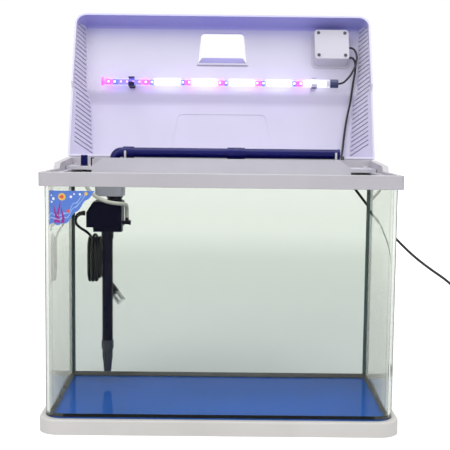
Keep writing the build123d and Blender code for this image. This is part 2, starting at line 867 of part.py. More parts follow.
def make_tube(name, points, diameter, bore=0.0):
    """A tube along straight runs joined by tangent arcs."""
    radii = route_radii(points)
    path = FilletPolyline(*points, radius=radii)
    start = Plane(origin=points[0], z_dir=Vector(*points[1]) - Vector(*points[0]))
    tube = sweep(start * Circle(diameter / 2), path=path)
    if bore:
        tube -= sweep(start * Circle(bore / 2), path=path)
    section = math.pi * (diameter**2 - bore**2) / 4
    share = tube.volume / (section * path.length)
    print(name, "length", round(path.length, 1), "volume share", round(share, 4))
    print("  least radius in diameters", round(min(radii) / diameter, 2), [round(r, 1) for r in radii])
    return tube


def reaches(inner, loops, layers, pitch):
    """Reach of each run from the winding's middle: in, then out again, layer by layer."""
    steps = 2 * loops
    inward = [inner + (steps - 1 - i) * pitch / 2 for i in range(steps)]
    rows = []
    for layer in range(layers):
        rows.append(inward if layer % 2 == 0 else inward[::-1])
    return rows


def winding_path(rows, run, lead_in, side):
    """Runs along v at plus and minus u, joined by half turns; the layers lie along w."""
    places = [(reach, i * layer_pitch) for i, row in enumerate(rows) for reach in row]
    pieces = []
    heading = -1
    for i, (reach, w) in enumerate(places):
        before = lead_in if i == 0 else 0
        after = lead_in if i + 1 == len(places) else 0
        start = (side * reach, -heading * (run / 2 + before), w)
        end = (side * reach, heading * (run / 2 + after), w)
        if run + before + after > 0:
            pieces.append(Line(start, end))
        if i + 1 < len(places):
            next_reach, next_w = places[i + 1]
            far = (-side * next_reach, heading * run / 2, next_w)
            pieces.append(half_turn(end, far, heading))
        side = -side
        heading = -heading
    return pieces


def half_turn(start, end, heading):
    """A half circle from start to end that leaves along v."""
    middle = (Vector(*start) + Vector(*end)) / 2
    radius = (Vector(*end) - Vector(*start)).length / 2
    top = middle + Vector(0, heading * radius, 0)
    return ThreePointArc(start, tuple(top), end)


def least_gap(pieces, diameter, per_piece=40):
    """Least distance between parts of a winding that lie over a turn apart, less its diameter."""
    points = []
    travelled = 0.0
    for piece in pieces:
        for k in range(per_piece):
            points.append((travelled + piece.length * k / per_piece, tuple(piece @ (k / per_piece))))
        travelled += piece.length
    least = 1e9
    for i, (s, p) in enumerate(points):
        for t, q in points[i + 1 :]:
            if t - s > 8 * diameter:
                least = min(least, math.dist(p, q))
    return least - diameter


def make_winding(name, rows, run, side, diameter, place):
    """A coil or hank as one unbroken tube."""
    pieces = winding_path(rows, run, diameter, side)
    wire = Wire([piece.edge() for piece in pieces])
    start = Plane(origin=pieces[0] @ 0, z_dir=pieces[0] % 0)
    tube = sweep(start * Circle(diameter / 2), path=wire)
    length = sum(piece.length for piece in pieces)
    share = tube.volume / (math.pi * diameter**2 / 4 * length)
    print(name, "length", round(length, 1), "volume share", round(share, 4))
    print("  least gap between turns", round(least_gap(pieces, diameter), 2))
    return place * tube


hank_rows = reaches(hank_inner_reach, hank_loops_in_layer, hank_layers, winding_pitch)
hank_rows[-1] = hank_rows[-1][:-1]
hank_half_width = layer_pitch * (hank_layers - 1) / 2
hank_place = Plane(
    origin=(hank_x - hank_half_width, hank_y, hank_z), x_dir=(0, 1, 0), z_dir=(1, 0, 0)
).location
hank_start = (
    hank_x - hank_half_width,
    hank_y + hank_rows[0][0],
    hank_z + hank_run / 2 + lead_diameter,
)
hank_end = (
    hank_x + hank_half_width,
    hank_y + hank_rows[-1][-1],
    hank_z - hank_run / 2 - lead_diameter,
)
coil_rows = reaches(coil_inner_reach, coil_loops_in_layer, coil_layers, winding_pitch)
coil_low_z = power_cord_diameter / 2
coil_high_z = coil_low_z + layer_pitch * (coil_layers - 1)
coil_place = Plane(
    origin=(coil_x, coil_y, coil_high_z), x_dir=(1, 0, 0), z_dir=(0, 0, -1)
).location
coil_start = (coil_x - coil_rows[0][0], coil_y - power_cord_diameter, coil_high_z)
coil_end = (coil_x + coil_rows[-1][-1], coil_y - power_cord_diameter, coil_low_z)

# Routes of the cords' free stretches, as points chosen along each
gland_tip = (pump_left_x - gland_length, gland_y, gland_z)
pump_lead_route = [
    gland_tip,
    (gland_tip[0] - 7.5, gland_y, gland_z),
    (-234.0, 91.5, 292.5),
    (-236.8, 94.0, 285.0),
    (-235.0, 98.5, 277.0),
    (-229.0, 103.0, 271.0),
    (-221.5, 107.8, 265.8),
    (-215.2, 111.4, 259.7),
    (hank_start[0], hank_start[1], hank_start[2] + 8.5),
    hank_start,
]
plug_lead_route = [
    hank_end,
    (hank_end[0], hank_end[1], hank_end[2] - 7.0),
    (-193.4, 107.6, 190.5),
    (-188.5, 104.8, 184.8),
]
air_tube_route = [
    (venturi_barb_x, line_y, venturi_barb_top - barb_grip),
    (venturi_barb_x, line_y, venturi_barb_top + 4.0),
    (-150.6, 70.8, 308.5),
    (-150.6, 62.6, 313.6),
    (-153.6, 53.2, 315.4),
    (-161.5, 46.8, 316.4),
    (-174.0, 45.0, 318.0),
    (-187.0, 45.5, 321.5),
    (-199.0, 49.0, 328.0),
    (-209.0, 56.0, 336.0),
    (-216.0, 65.5, 344.5),
    (valve_x, valve_y, 354.0),
    (valve_x, valve_y, shelf_top - valve_body_drop - valve_barb_length + barb_grip),
]
power_cord_route = [
    (cord_x, hinge_y + 1.0, hinge_z - 5.0),
    (203.0, 135.0, 371.0),
    (209.5, 138.5, 357.5),
    (224.0, 144.0, 338.0),
    (246.0, 150.5, 311.0),
    (272.0, 156.0, 281.0),
    (301.0, 160.5, 250.0),
    (331.0, 165.0, 222.0),
    (362.0, 169.5, 199.0),
    (391.0, 172.5, 180.0),
    (412.0, 173.0, 160.0),
    (423.0, 169.0, 134.0),
    (424.5, 159.5, 106.0),
    (421.0, 148.0, 79.0),
    (417.0, 139.5, 54.5),
    (414.3, 136.1, 31.0),
    (414.0, 145.1, 15.4),
    (coil_start[0], coil_start[1] - 14.5, coil_start[2]),
    coil_start,
]
plug_cord_route = [
    coil_end,
    (coil_end[0], coil_end[1] - 8.0, coil_end[2]),
    (coil_end[0], coil_end[1] - 17.0, coil_end[2] + 2.3),
    (coil_end[0], coil_end[1] - 26.0, power_plug_depth / 2),
]
led_lead_route = [
    (driver_right_x, -85.0, 403.0),
    (driver_right_x + 6.0, -85.0, 403.0),
    (230.8, -81.0, 402.7),
    (233.8, -73.0, 402.4),
    (234.0, -61.0, 402.0),
    (230.5, -47.5, 402.0),
    (224.0, -34.5, 402.5),
    (216.0, -24.0, 403.5),
    (tube_right_x + cap_length + 7.0, tube_y, tube_z),
    (tube_right_x + cap_length - cap_socket, tube_y, tube_z),
]
hood_lead_route = [
    (driver_right_x, -66.0, 403.0),
    (driver_right_x + 6.0, -66.0, 403.0),
    (230.5, -61.5, 405.0),
    (232.5, -53.0, 409.0),
    (231.5, -41.0, 413.8),
    (229.0, -28.0, 418.5),
    (226.5, -11.0, 422.5),
    (224.0, 7.0, 428.0),
    (219.5, 27.0, 435.5),
    (215.5, 48.0, 441.5),
    (212.5, 70.0, 446.0),
    (210.0, 91.0, 447.5),
    (206.5, 107.0, 441.5),
    (203.8, 117.0, 429.0),
    (202.5, 121.5, 414.0),
    (202.0, 123.0, 401.0),
    (cord_x, 126.0, hinge_z + 5.5),
]


def direction(route):
    """Unit direction in which a route ends."""
    return (Vector(*route[-1]) - Vector(*route[-2])).normalized()


def make_gland():
    return rod_x(gland_tip[0], pump_left_x, gland_y, gland_z, gland_diameter / 2)


def plug_place(route, side):
    """Where a plug starts, at the end of its cord, with its width along side."""
    z_dir = direction(route)
    x_dir = (Vector(*side) - z_dir * Vector(*side).dot(z_dir)).normalized()
    return Plane(origin=route[-1], x_dir=x_dir, z_dir=z_dir).location


def make_plug_body(place, width, depth, length):
    """A plug that swells from its cord to a rounded oblong."""
    neck = Plane.XY * RectangleRounded(width * 0.55, depth * 0.6, depth * 0.25)
    waist = Plane.XY.offset(length * 0.35) * RectangleRounded(width, depth, depth * 0.3)
    body = loft([neck.face(), waist.face()], ruled=True)
    body += slab(RectangleRounded(width, depth, depth * 0.3), length * 0.35, length)
    return place * body


def make_plug_pins(place, length, pin_reach, spacing):
    pins = []
    for side in (-1, 1):
        pin = rod_z(side * spacing / 2, 0, length, length + pin_reach, pin_diameter / 2)
        pin = fillet(pin.faces().sort_by(Axis.Z)[-1].edges(), pin_diameter / 4)
        pins.append(place * pin)
    return pins


def make_pin_cover(place):
    outer = slab(
        RectangleRounded(pump_plug_width, pump_plug_depth, pump_plug_depth * 0.3),
        pump_plug_length,
        pump_plug_length + pin_length + pin_cover_gap + pin_cover_wall,
    )
    inner = slab(
        RectangleRounded(
            pump_plug_width - 2 * pin_cover_wall,
            pump_plug_depth - 2 * pin_cover_wall,
            pump_plug_depth * 0.3 - pin_cover_wall,
        ),
        pump_plug_length - 1,
        pump_plug_length + pin_length + pin_cover_gap,
    )
    return place * (outer - inner)


def make_air_valve_body():
    """Flange on the shelf, stem through it, barb below and pivot above."""
    bottom = shelf_top - valve_body_drop
    body = rod_z(valve_x, valve_y, bottom, shelf_top, valve_stem_diameter / 2)
    body += rod_z(valve_x, valve_y, shelf_top, shelf_top + valve_flange, valve_flange_diameter / 2)
    body += rod_z(valve_x, valve_y, bottom - valve_barb_length, bottom, barb_radius)
    pivot_top = shelf_top + valve_flange + knob_pivot_height
    return body + rod_z(valve_x, valve_y, shelf_top, pivot_top, knob_pivot_diameter / 2)


def make_air_valve_knob():
    low = shelf_top + valve_flange + knob_clearance
    high = low + knob_height
    knob = rod_z(valve_x, valve_y, low, high, knob_diameter / 2)
    knob = fillet(knob.faces().sort_by(Axis.Z)[-1].edges(), 1.5)
    for i in range(knob_grip_count):
        angle = math.radians(i * 360 / knob_grip_count)
        x = valve_x + math.cos(angle) * knob_diameter / 2
        y = valve_y + math.sin(angle) * knob_diameter / 2
        knob -= rod_z(x, y, low - 1, high - 2.5, knob_grip_radius)
    bore = knob_pivot_diameter / 2 + knob_running_fit
    return knob - rod_z(valve_x, valve_y, low - 1, low + knob_pivot_height, bore)


def rim_z(y):
    """Level of the closed hood's rim at y."""
    step_end = frame_step_y + frame_step_length
    if y <= frame_step_y:
        level = frame_top
    elif y < step_end:
        level = frame_top + frame_step_rise * (y - frame_step_y) / frame_step_length
    else:
        share = (y - step_end) / (half_frame_depth - step_end)
        level = frame_step_top + (frame_rear_top - frame_step_top) * share
    return level + hood_gap


panel_front_z = frame_top + hood_front_height
panel_step_low = panel_front_z + (hood_step_y + half_frame_depth) * math.tan(
    math.radians(hood_panel_slope)
)
panel_step_high = panel_step_low + hood_step_rise
panel_step_end = hood_step_y + hood_step_length
panel_rear_z = panel_step_high + (half_frame_depth - panel_step_end) * math.tan(
    math.radians(hood_rear_slope)
)


def panel_z(y):
    """Level of the closed hood's outer top face at y."""
    if y <= hood_step_y:
        return panel_front_z + (y + half_frame_depth) * math.tan(math.radians(hood_panel_slope))
    if y < panel_step_end:
        return panel_step_low + hood_step_rise * (y - hood_step_y) / hood_step_length
    return panel_step_high + (y - panel_step_end) * math.tan(math.radians(hood_rear_slope))


def hood_solid(inset):
    """The closed hood's outside, or with an inset the room inside it."""
    front = inset - half_frame_depth
    rear = half_frame_depth - inset
    low = frame_top + hood_gap if inset == 0 else frame_bottom
    top = FilletPolyline(
        (0, front, low),
        (0, front, panel_front_z - inset),
        (0, hood_step_y, panel_step_low - inset),
        (0, panel_step_end, panel_step_high - inset),
        (0, rear, panel_rear_z - inset),
        (0, rear, rim_z(half_frame_depth) if inset == 0 else low),
        radius=[hood_front_round - inset, hood_step_length, hood_step_length, hood_rear_round - inset],
    )
    if inset == 0:
        step_end = frame_step_y + frame_step_length
        rim = Polyline(
            (0, rear, rim_z(half_frame_depth)),
            (0, step_end, rim_z(step_end)),
            (0, frame_step_y, low),
            (0, front, low),
        )
    else:
        rim = Polyline((0, rear, low), (0, front, low))
    half_w = frame_width / 2 - inset
    body = extrude(make_face(top + rim), half_w, dir=(1, 0, 0), both=True)
    lean = math.tan(math.radians(hood_side_slope))
    high = panel_rear_z + 1
    narrow = half_w - (high - frame_rear_top) * lean
    right = [(half_w, low - 1), (half_w, frame_rear_top), (narrow, high)]
    body &= profile_y(right + [(-x, z) for x, z in reversed(right)], front - 1, rear + 1)
    plan = Pos(0, (front + rear) / 2) * Rectangle(2 * half_w, rear - front)
    plan = fillet(plan.vertices().sort_by(Axis.Y)[:2], hood_corner_radius - inset)
    return body & slab(plan, low - 1, high)


def feed_plan(inset):
    front = feed_front_y + inset
    sill = feed_sill_y - inset
    points = [
        (feed_front_half_width - inset, front),
        (feed_sill_half_width - inset, sill),
        (inset - feed_sill_half_width, sill),
        (inset - feed_front_half_width, front),
    ]
    plan = make_face(Polyline(points, close=True))
    return fillet(plan.vertices().sort_by(Axis.Y)[:2], feed_corner_radius - inset)


feed_hinge_y = feed_sill_y + 1.5
feed_hinge_z = panel_z(feed_hinge_y) + 1.0
feed_hinge_axis = Axis((0, feed_hinge_y, feed_hinge_z), (1, 0, 0))
feed_barrel_half_length = 30.0


def make_hood_shell():
    shell = hood_solid(0) - hood_solid(hood_wall)
    cuts = []
    for i in range(vent_count):
        y = vent_first_y + i * vent_pitch
        z0 = rim_z(y) + vent_rim_gap
        z1 = panel_z(y) - vent_panel_gap
        for side in (-1, 1):
            x0, x1 = sorted((side * frame_width * 0.42, side * (frame_width / 2 + 1)))
            cuts.append(block(x0, x1, y - vent_width / 2, y + vent_width / 2, z0, z1))
    cuts.append(slab(feed_plan(0), panel_front_z - 20, panel_step_high))
    notch_half = cord_notch_width / 2
    cuts.append(
        block(
            cord_x - notch_half,
            cord_x + notch_half,
            half_frame_depth - hood_wall - 1,
            half_frame_depth + 1,
            frame_rear_top - 1,
            frame_rear_top + cord_notch_height,
        )
    )
    cuts.append(make_recess())
    barrel_reach = feed_barrel_half_length + feed_ear_gap
    turn = feed_knuckle_radius + feed_gap
    cuts.append(rod_x(-barrel_reach, barrel_reach, feed_hinge_y, feed_hinge_z, turn))
    for side_x in (-hinge_x, hinge_x):
        reach = knuckle_half_length + knuckle_end_gap
        for x0 in (side_x - reach - ear_thickness, side_x + reach):
            x1 = x0 + ear_thickness
            turn = knuckle_radius + knuckle_clearance
            gap = knuckle_end_gap
            cuts.append(rod_x(x0 - gap, x1 + gap, hinge_y, hinge_z, turn))
    shell -= cuts
    for side_x in (-hinge_x, hinge_x):
        x0 = side_x - knuckle_half_length
        x1 = side_x + knuckle_half_length
        shell += rod_x(x0, x1, hinge_y, hinge_z, knuckle_radius)
        shell += block(
            x0, x1, half_frame_depth - 1, hinge_y + 1, hinge_z + knuckle_radius / 2, hinge_z + 12
        )
        shell -= rod_x(x0 - 1, x1 + 1, hinge_y, hinge_z, hinge_pin_radius + hinge_fit)
    for side in (-1, 1):
        x0, x1 = sorted((side * barrel_reach, side * (barrel_reach + feed_ear_thickness)))
        shell += rod_x(x0, x1, feed_hinge_y, feed_hinge_z, feed_knuckle_radius)
        shell -= rod_x(x0 - 1, x1 + 1, feed_hinge_y, feed_hinge_z, feed_pin_radius)
    return shell


def make_recess():
    """A shallow field with round corners in the hood's inner face."""
    plan = make_face(
        Polyline(
            (recess_front_half_width, recess_front_y),
            (recess_rear_half_width, recess_rear_y),
            (-recess_rear_half_width, recess_rear_y),
            (-recess_front_half_width, recess_front_y),
            close=True,
        )
    )
    plan = fillet(plan.vertices().sort_by(Axis.Y)[:2], hood_corner_radius / 2)
    field = slab(plan, panel_step_low, panel_rear_z)
    return field & panel_layer(hood_wall - recess_depth, hood_wall + 1)


def panel_layer(shallow, deep):
    """The layer between two depths below the hood's outer top face."""
    ys = [-half_frame_depth, hood_step_y, panel_step_end, half_frame_depth]
    line = [(y, panel_z(y) - shallow) for y in ys]
    back = [(y, panel_z(y) - deep) for y in reversed(ys)]
    half_w = frame_width / 2
    return profile_x(line + back, -half_w, half_w)


def make_feed_door():
    door = slab(feed_plan(feed_gap), panel_front_z - 20, panel_step_high)
    door &= panel_layer(0, feed_door_thickness)
    for side in (-1, 1):
        x0, x1 = sorted((side * feed_barrel_half_length, side * frame_width))
        notch_y = feed_hinge_y - feed_knuckle_radius - feed_gap
        door -= block(x0, x1, notch_y, feed_hinge_y, panel_front_z - 20, panel_step_high)
    reach = feed_barrel_half_length
    door += rod_x(-reach, reach, feed_hinge_y, feed_hinge_z, feed_knuckle_radius)
    return door - rod_x(
        -reach - 1, reach + 1, feed_hinge_y, feed_hinge_z, feed_pin_radius + feed_fit
    )


def make_feed_door_pin():
    reach = feed_barrel_half_length + feed_ear_gap + feed_ear_thickness
    return rod_x(-reach, reach, feed_hinge_y, feed_hinge_z, feed_pin_radius)


def make_hinge_pins():
    reach = knuckle_half_length + knuckle_end_gap + ear_thickness
    return [rod_x(x - reach, x + reach, hinge_y, hinge_z, hinge_pin_radius) for x in (-hinge_x, hinge_x)]


def driver_plan(grow):
    width = driver_right_x - driver_left_x + 2 * grow
    depth = driver_rear_y - driver_front_y + 2 * grow
    middle = Pos((driver_left_x + driver_right_x) / 2, (driver_front_y + driver_rear_y) / 2)
    return middle * RectangleRounded(width, depth, driver_corner_radius + grow)


def driver_screw_places():
    inset = driver_screw_inset
    for x in (driver_left_x + inset, driver_right_x - inset):
        for y in (driver_front_y + inset, driver_rear_y - inset):
            yield x, y


driver_split_z = driver_face_z + driver_cover_height


def make_driver_box():
    room = hood_solid(hood_wall)
    walls = slab(driver_plan(0), driver_split_z, panel_step_high)
    walls -= slab(driver_plan(-driver_wall), driver_split_z - 1, panel_step_high + 1)
    flange = slab(driver_plan(driver_flange), panel_front_z - 20, panel_step_high)
    flange &= panel_layer(hood_wall, hood_wall + driver_flange_thickness)
    box = (walls + flange) & room
    for x, y in driver_screw_places():
        z1 = panel_z(y) - hood_wall - 0.5
        box += rod_z(x, y, driver_split_z, z1, driver_post_radius) & room
        pilot_top = driver_split_z + driver_screw_length
        box -= rod_z(x, y, driver_split_z - 1, pilot_top, driver_screw_radius)
    return box


def make_driver_cover():
    cover = slab(driver_plan(0), driver_face_z, driver_split_z)
    cover = fillet(cover.faces().sort_by(Axis.Z)[0].edges(), 1.5)
    room = slab(driver_plan(-driver_wall), driver_face_z + driver_wall, driver_split_z + 1)
    for x, y in driver_screw_places():
        room -= rod_z(x, y, driver_face_z, driver_split_z + 2, driver_post_radius)
    cover -= room
    for x, y in driver_screw_places():
        hole = driver_screw_radius + cap_fit
        cover -= rod_z(x, y, driver_face_z - 1, driver_split_z + 1, hole)
    return cover


def make_driver_screws():
    screws = []
    for x, y in driver_screw_places():
        low = driver_face_z - driver_screw_head_height
        screw = rod_z(x, y, low, driver_face_z, driver_screw_head_radius)
        top = driver_split_z + driver_screw_length - driver_screw_head_height
        screw += rod_z(x, y, driver_face_z, top, driver_screw_radius)
        screw -= block(x - 2, x + 2, y - 0.4, y + 0.4, low - 1, low + 0.7)
        screw -= block(x - 0.4, x + 0.4, y - 2, y + 2, low - 1, low + 0.7)
        screws.append(screw)
    return screws


def make_driver_board():
    board = slab(
        driver_plan(-driver_wall - 0.3), driver_split_z + board_gap, driver_split_z + board_gap + board_thickness
    )
    for x, y in driver_screw_places():
        board -= rod_z(x, y, driver_split_z, driver_split_z + 20, driver_post_radius + 0.3)
    return board


def make_led_tube():
    body = rod_x(tube_left_x, tube_right_x, tube_y, tube_z, tube_diameter / 2)
    return body - rod_x(
        tube_left_x - 1, tube_right_x + 1, tube_y, tube_z, tube_diameter / 2 - tube_wall
    )


def make_end_cap(side):
    edge = tube_right_x if side > 0 else tube_left_x
    length = cap_length if side > 0 else cap_length / 5
    far0, far1 = sorted((edge, edge + side * length))
    cap = rod_x(far0, far1, tube_y, tube_z, cap_diameter / 2)
    in0, in1 = sorted((edge, edge - side * cap_plug))
    cap += rod_x(in0, in1, tube_y, tube_z, tube_diameter / 2 - tube_wall - cap_fit)
    if side > 0:
        hole = hood_lead_diameter / 2 + cap_fit
        cap -= rod_x(far1 - cap_socket, far1 + 1, tube_y, tube_z, hole)
    return cap


strip_low = tube_z + 1.5


def make_led_strip():
    half = strip_width / 2
    return block(
        tube_left_x + strip_end_gap,
        tube_right_x - strip_end_gap,
        tube_y - half,
        tube_y + half,
        strip_low,
        strip_low + strip_thickness,
    )


def make_led_chips(letter):
    chips = []
    for i, kind in enumerate(chip_pattern):
        if kind == letter:
            x = chip_first_x + i * chip_pitch
            half = chip_size / 2
            chips.append(
                block(x - half, x + half, tube_y - half, tube_y + half, strip_low - chip_thickness, strip_low)
            )
    return chips


def make_tube_clips():
    """Snap clips that hold the tube, open towards the water, each on a stem from the panel."""
    clips = []
    for x in clip_x:
        x0 = x - clip_width / 2
        x1 = x + clip_width / 2
        bore = tube_diameter / 2 + clip_fit
        stem_top = panel_z(tube_y - clip_stem / 2) - hood_wall - 0.1
        clip = rod_x(x0, x1, tube_y, tube_z, bore + clip_wall)
        clip += block(x0, x1, tube_y - clip_stem / 2, tube_y + clip_stem / 2, tube_z, stem_top)
        clip -= rod_x(x0 - 1, x1 + 1, tube_y, tube_z, bore)
        clip -= block(
            x0 - 1, x1 + 1, tube_y - clip_mouth / 2, tube_y + clip_mouth / 2, tube_z - 20, tube_z
        )
        clips.append(clip)
    return clips


def make_cord_clip():
    """Saddle on the rear of the frame that the power cord passes through."""
    z1 = hinge_z - cord_clip_drop
    z0 = z1 - cord_clip_width
    half = power_cord_diameter / 2 + cord_clip_wall
    saddle = block(
        cord_x - half, cord_x + half + 2, half_frame_depth, hinge_y + 2 + half, z0, z1
    )
    return saddle


def opened(shape):
    """Swing a piece of the closed hood back to the open stop."""
    return shape.rotate(hinge_axis, -hood_open_angle)


def save(name, shape):
    """Write one piece, or a group of like pieces, under its name."""
    if isinstance(shape, (list, tuple)):
        shape = Compound(children=list(shape))
    export_step(shape, f"parts/{name}.step")
    pieces[name] = shape


pieces = {}
os.makedirs("parts", exist_ok=True)

# Tank
save("base_frame", make_base_frame())
save("base_mat", make_base_mat())
save("bottom_glass", make_bottom_glass())
save("bent_front_glass", make_bent_front_glass())
save("rear_glass", make_rear_glass())
save("bottom_seal", make_bottom_seal())
save("rear_seals", [make_rear_seal(side) for side in (-1, 1)])
save("top_frame", make_top_frame())
save("hinge_pins", make_hinge_pins())

# Filter tray and spray bar
save("filter_tray", make_filter_tray())
save("filter_sponge", make_filter_sponge())
save("tray_hook", make_tray_hook())
save("pump_socket", make_pump_socket())
save("outlet_coupler", make_outlet_coupler())
save("spray_elbow", make_spray_elbow())
save("spray_pipe_left", make_spray_pipe(elbow_end_x, spray_joint_x))
save("spray_pipe_right", make_spray_pipe(spray_joint_x, spray_right_x))
save("spray_sleeves", [make_elbow_sleeve(), make_spray_coupler()])
save("spray_end_plug", make_spray_end_plug())

# Pump, intake and air supply
save("pump_cover", make_pump_cover())
save("pump_motor", make_pump_motor())
save("impeller", make_impeller())
save("rotor_shaft", make_rotor_shaft())
save("rotor_bushes", make_rotor_bushes())
save("intake_pipe", make_intake_pipe())
save("strainer", make_strainer())
save("venturi_tee", make_venturi_tee())
save("air_valve_body", make_air_valve_body())
save("air_valve_knob", make_air_valve_knob())
save("air_tube", make_tube("air tube", air_tube_route, air_tube_diameter, air_tube_bore))

# Pump lead
save("lead_gland", make_gland())
save("pump_lead", make_tube("pump lead", pump_lead_route, lead_diameter))
save(
    "pump_lead_hank",
    make_winding("pump lead hank", hank_rows, hank_run, 1, lead_diameter, hank_place),
)
save("plug_lead", make_tube("plug lead", plug_lead_route, lead_diameter))
pump_plug_place = plug_place(plug_lead_route, (1, 0, 1))
save(
    "pump_plug",
    make_plug_body(pump_plug_place, pump_plug_width, pump_plug_depth, pump_plug_length),
)
save(
    "pump_plug_pins", make_plug_pins(pump_plug_place, pump_plug_length, pin_length, pin_spacing)
)
save("plug_pin_cover", make_pin_cover(pump_plug_place))

# Hood
save("hood_shell", opened(make_hood_shell()))
feed_door = make_feed_door().rotate(feed_hinge_axis, -feed_open_angle)
save("feed_door", opened(feed_door))
save("feed_door_pin", opened(make_feed_door_pin()))
save("driver_box", opened(make_driver_box()))
save("driver_cover", opened(make_driver_cover()))
save("driver_screws", [opened(screw) for screw in make_driver_screws()])
save("driver_board", opened(make_driver_board()))
save("led_tube", opened(make_led_tube()))
save("led_strip", opened(make_led_strip()))
save("led_chips_pink", [opened(chip) for chip in make_led_chips("P")])
save("led_chips_blue", [opened(chip) for chip in make_led_chips("B")])
save("led_chips_violet", [opened(chip) for chip in make_led_chips("V")])
save("led_chips_white", [opened(chip) for chip in make_led_chips("W")])
save("tube_end_caps", [opened(make_end_cap(side)) for side in (-1, 1)])
save("tube_clips", [opened(clip) for clip in make_tube_clips()])
save("led_lead", opened(make_tube("tube lead", led_lead_route, hood_lead_diameter)))
save("hood_lead", opened(make_tube("hood lead", hood_lead_route, hood_lead_diameter)))

# Power cord
cord = make_tube("power cord", power_cord_route, power_cord_diameter)
save("cord_clip", make_cord_clip() - cord)
save("power_cord", cord)
save(
    "power_cord_coil",
    make_winding("power cord coil", coil_rows, 0, -1, power_cord_diameter, coil_place),
)
save("power_plug_cord", make_tube("plug cord", plug_cord_route, power_cord_diameter))
power_plug_place = plug_place(plug_cord_route, (1, 0, 0))
save(
    "power_plug",
    make_plug_body(power_plug_place, power_plug_width, power_plug_depth, power_plug_length),
)
save(
    "power_plug_pins",
    make_plug_pins(
        power_plug_place, power_plug_length, power_plug_pin_length, power_plug_pin_spacing
    ),
)

feed_hinge_place = opened(Vertex(0, feed_hinge_y, feed_hinge_z)).center()
print("pieces", len(pieces), "feed door hinge", feed_hinge_place)
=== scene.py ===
import math

import bmesh
import bpy
import numpy as np
from mathutils import Matrix, Vector


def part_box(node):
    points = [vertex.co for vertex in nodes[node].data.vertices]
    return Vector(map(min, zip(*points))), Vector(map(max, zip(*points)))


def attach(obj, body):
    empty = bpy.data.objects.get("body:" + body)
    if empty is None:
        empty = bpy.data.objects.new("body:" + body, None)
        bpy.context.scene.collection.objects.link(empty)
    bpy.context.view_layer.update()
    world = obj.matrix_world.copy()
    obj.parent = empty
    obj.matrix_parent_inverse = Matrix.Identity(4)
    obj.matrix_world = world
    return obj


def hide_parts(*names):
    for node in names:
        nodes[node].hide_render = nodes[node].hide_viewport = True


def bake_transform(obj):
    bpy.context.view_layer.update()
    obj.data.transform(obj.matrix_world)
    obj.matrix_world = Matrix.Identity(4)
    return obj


# A panoramic aquarium with its light hood open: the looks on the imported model.
# Places and sizes of pieces are in millimetres, and are turned to metres as each mesh is made.
# The camera, the lamps, the floor, the sponge's pores, the rear pane's heights and the relief
# of a finish are in metres.

MM = 0.001
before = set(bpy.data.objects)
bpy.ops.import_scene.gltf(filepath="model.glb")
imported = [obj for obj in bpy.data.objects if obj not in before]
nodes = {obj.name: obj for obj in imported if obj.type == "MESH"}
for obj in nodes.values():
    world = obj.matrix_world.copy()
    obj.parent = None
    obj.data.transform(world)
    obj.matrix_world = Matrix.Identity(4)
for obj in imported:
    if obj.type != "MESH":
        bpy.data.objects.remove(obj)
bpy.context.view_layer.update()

# The hood's hinge line, and how far the hood stands open
hinge_y = 133.0
hinge_z = 386.0
open_turn = math.radians(113.6)


def hood_opened(place):
    """A point given on the closed hood, where it is with the hood open."""
    x, y, z = place
    dy = y - hinge_y
    dz = z - hinge_z
    turned_y = dy * math.cos(open_turn) + dz * math.sin(open_turn)
    turned_z = -dy * math.sin(open_turn) + dz * math.cos(open_turn)
    return (x, hinge_y + turned_y, hinge_z + turned_z)


# The closed hood's rearward and upward directions, as they lie with the hood open
hood_rearward = (0.0, math.cos(open_turn), -math.sin(open_turn))
hood_upward = (0.0, math.sin(open_turn), math.cos(open_turn))


def in_metres(points):
    return [tuple(c * MM for c in p) for p in points]


def placed(name, data):
    """A new object in the scene, at the origin."""
    piece = bpy.data.objects.new(name, data)
    bpy.context.scene.collection.objects.link(piece)
    return piece


# Camera, at the photograph's place and with its angles

eye_place = (-0.0024715, -1.45212, 0.4332437)
eye_yaw = 0.0061
eye_pitch = 0.0991
eye_roll = 0.0113
eye_lens = 76.2567


def make_camera():
    ahead = Vector(
        (
            math.sin(eye_yaw) * math.cos(eye_pitch),
            math.cos(eye_yaw) * math.cos(eye_pitch),
            -math.sin(eye_pitch),
        )
    )
    level = Vector((math.cos(eye_yaw), -math.sin(eye_yaw), 0))
    upward = level.cross(ahead)
    across = math.cos(eye_roll) * level + math.sin(eye_roll) * upward
    above = -math.sin(eye_roll) * level + math.cos(eye_roll) * upward
    view = bpy.data.cameras.new("photo_eye")
    view.lens = eye_lens
    view.sensor_width = 36
    view.clip_start = 0.05
    view.clip_end = 60
    eye = placed("photo_eye", view)
    turned = Matrix((across, above, -ahead)).transposed().to_4x4()
    eye.matrix_world = Matrix.Translation(eye_place) @ turned
    bpy.context.scene.camera = eye


make_camera()


# Materials


def paint(red, green, blue):
    """A colour as it looks on a screen, 0 to 255, turned to the values a shader takes."""
    linear = []
    for value in (red, green, blue):
        share = value / 255
        if share <= 0.04045:
            linear.append(share / 12.92)
        else:
            linear.append(((share + 0.055) / 1.055) ** 2.4)
    return (*linear, 1.0)


def new_finish(name):
    """A new material with its node tree, its shader and the piece's own coordinates."""
    material = bpy.data.materials.new(name)
    material.use_nodes = True
    tree = material.node_tree
    shader = tree.nodes["Principled BSDF"]
    place = tree.nodes.new("ShaderNodeTexCoord").outputs["Object"]
    return material, tree, shader, place


def cloudy(tree, place, scale, detail=2.0):
    """A soft noise over the piece, from 0 to 1."""
    noise = tree.nodes.new("ShaderNodeTexNoise")
    noise.inputs["Scale"].default_value = scale
    noise.inputs["Detail"].default_value = detail
    tree.links.new(place, noise.inputs["Vector"])
    return noise.outputs["Fac"]


def along_axis(tree, place, axis):
    """One coordinate of a place."""
    split = tree.nodes.new("ShaderNodeSeparateXYZ")
    tree.links.new(place, split.inputs["Vector"])
    return split.outputs[axis]


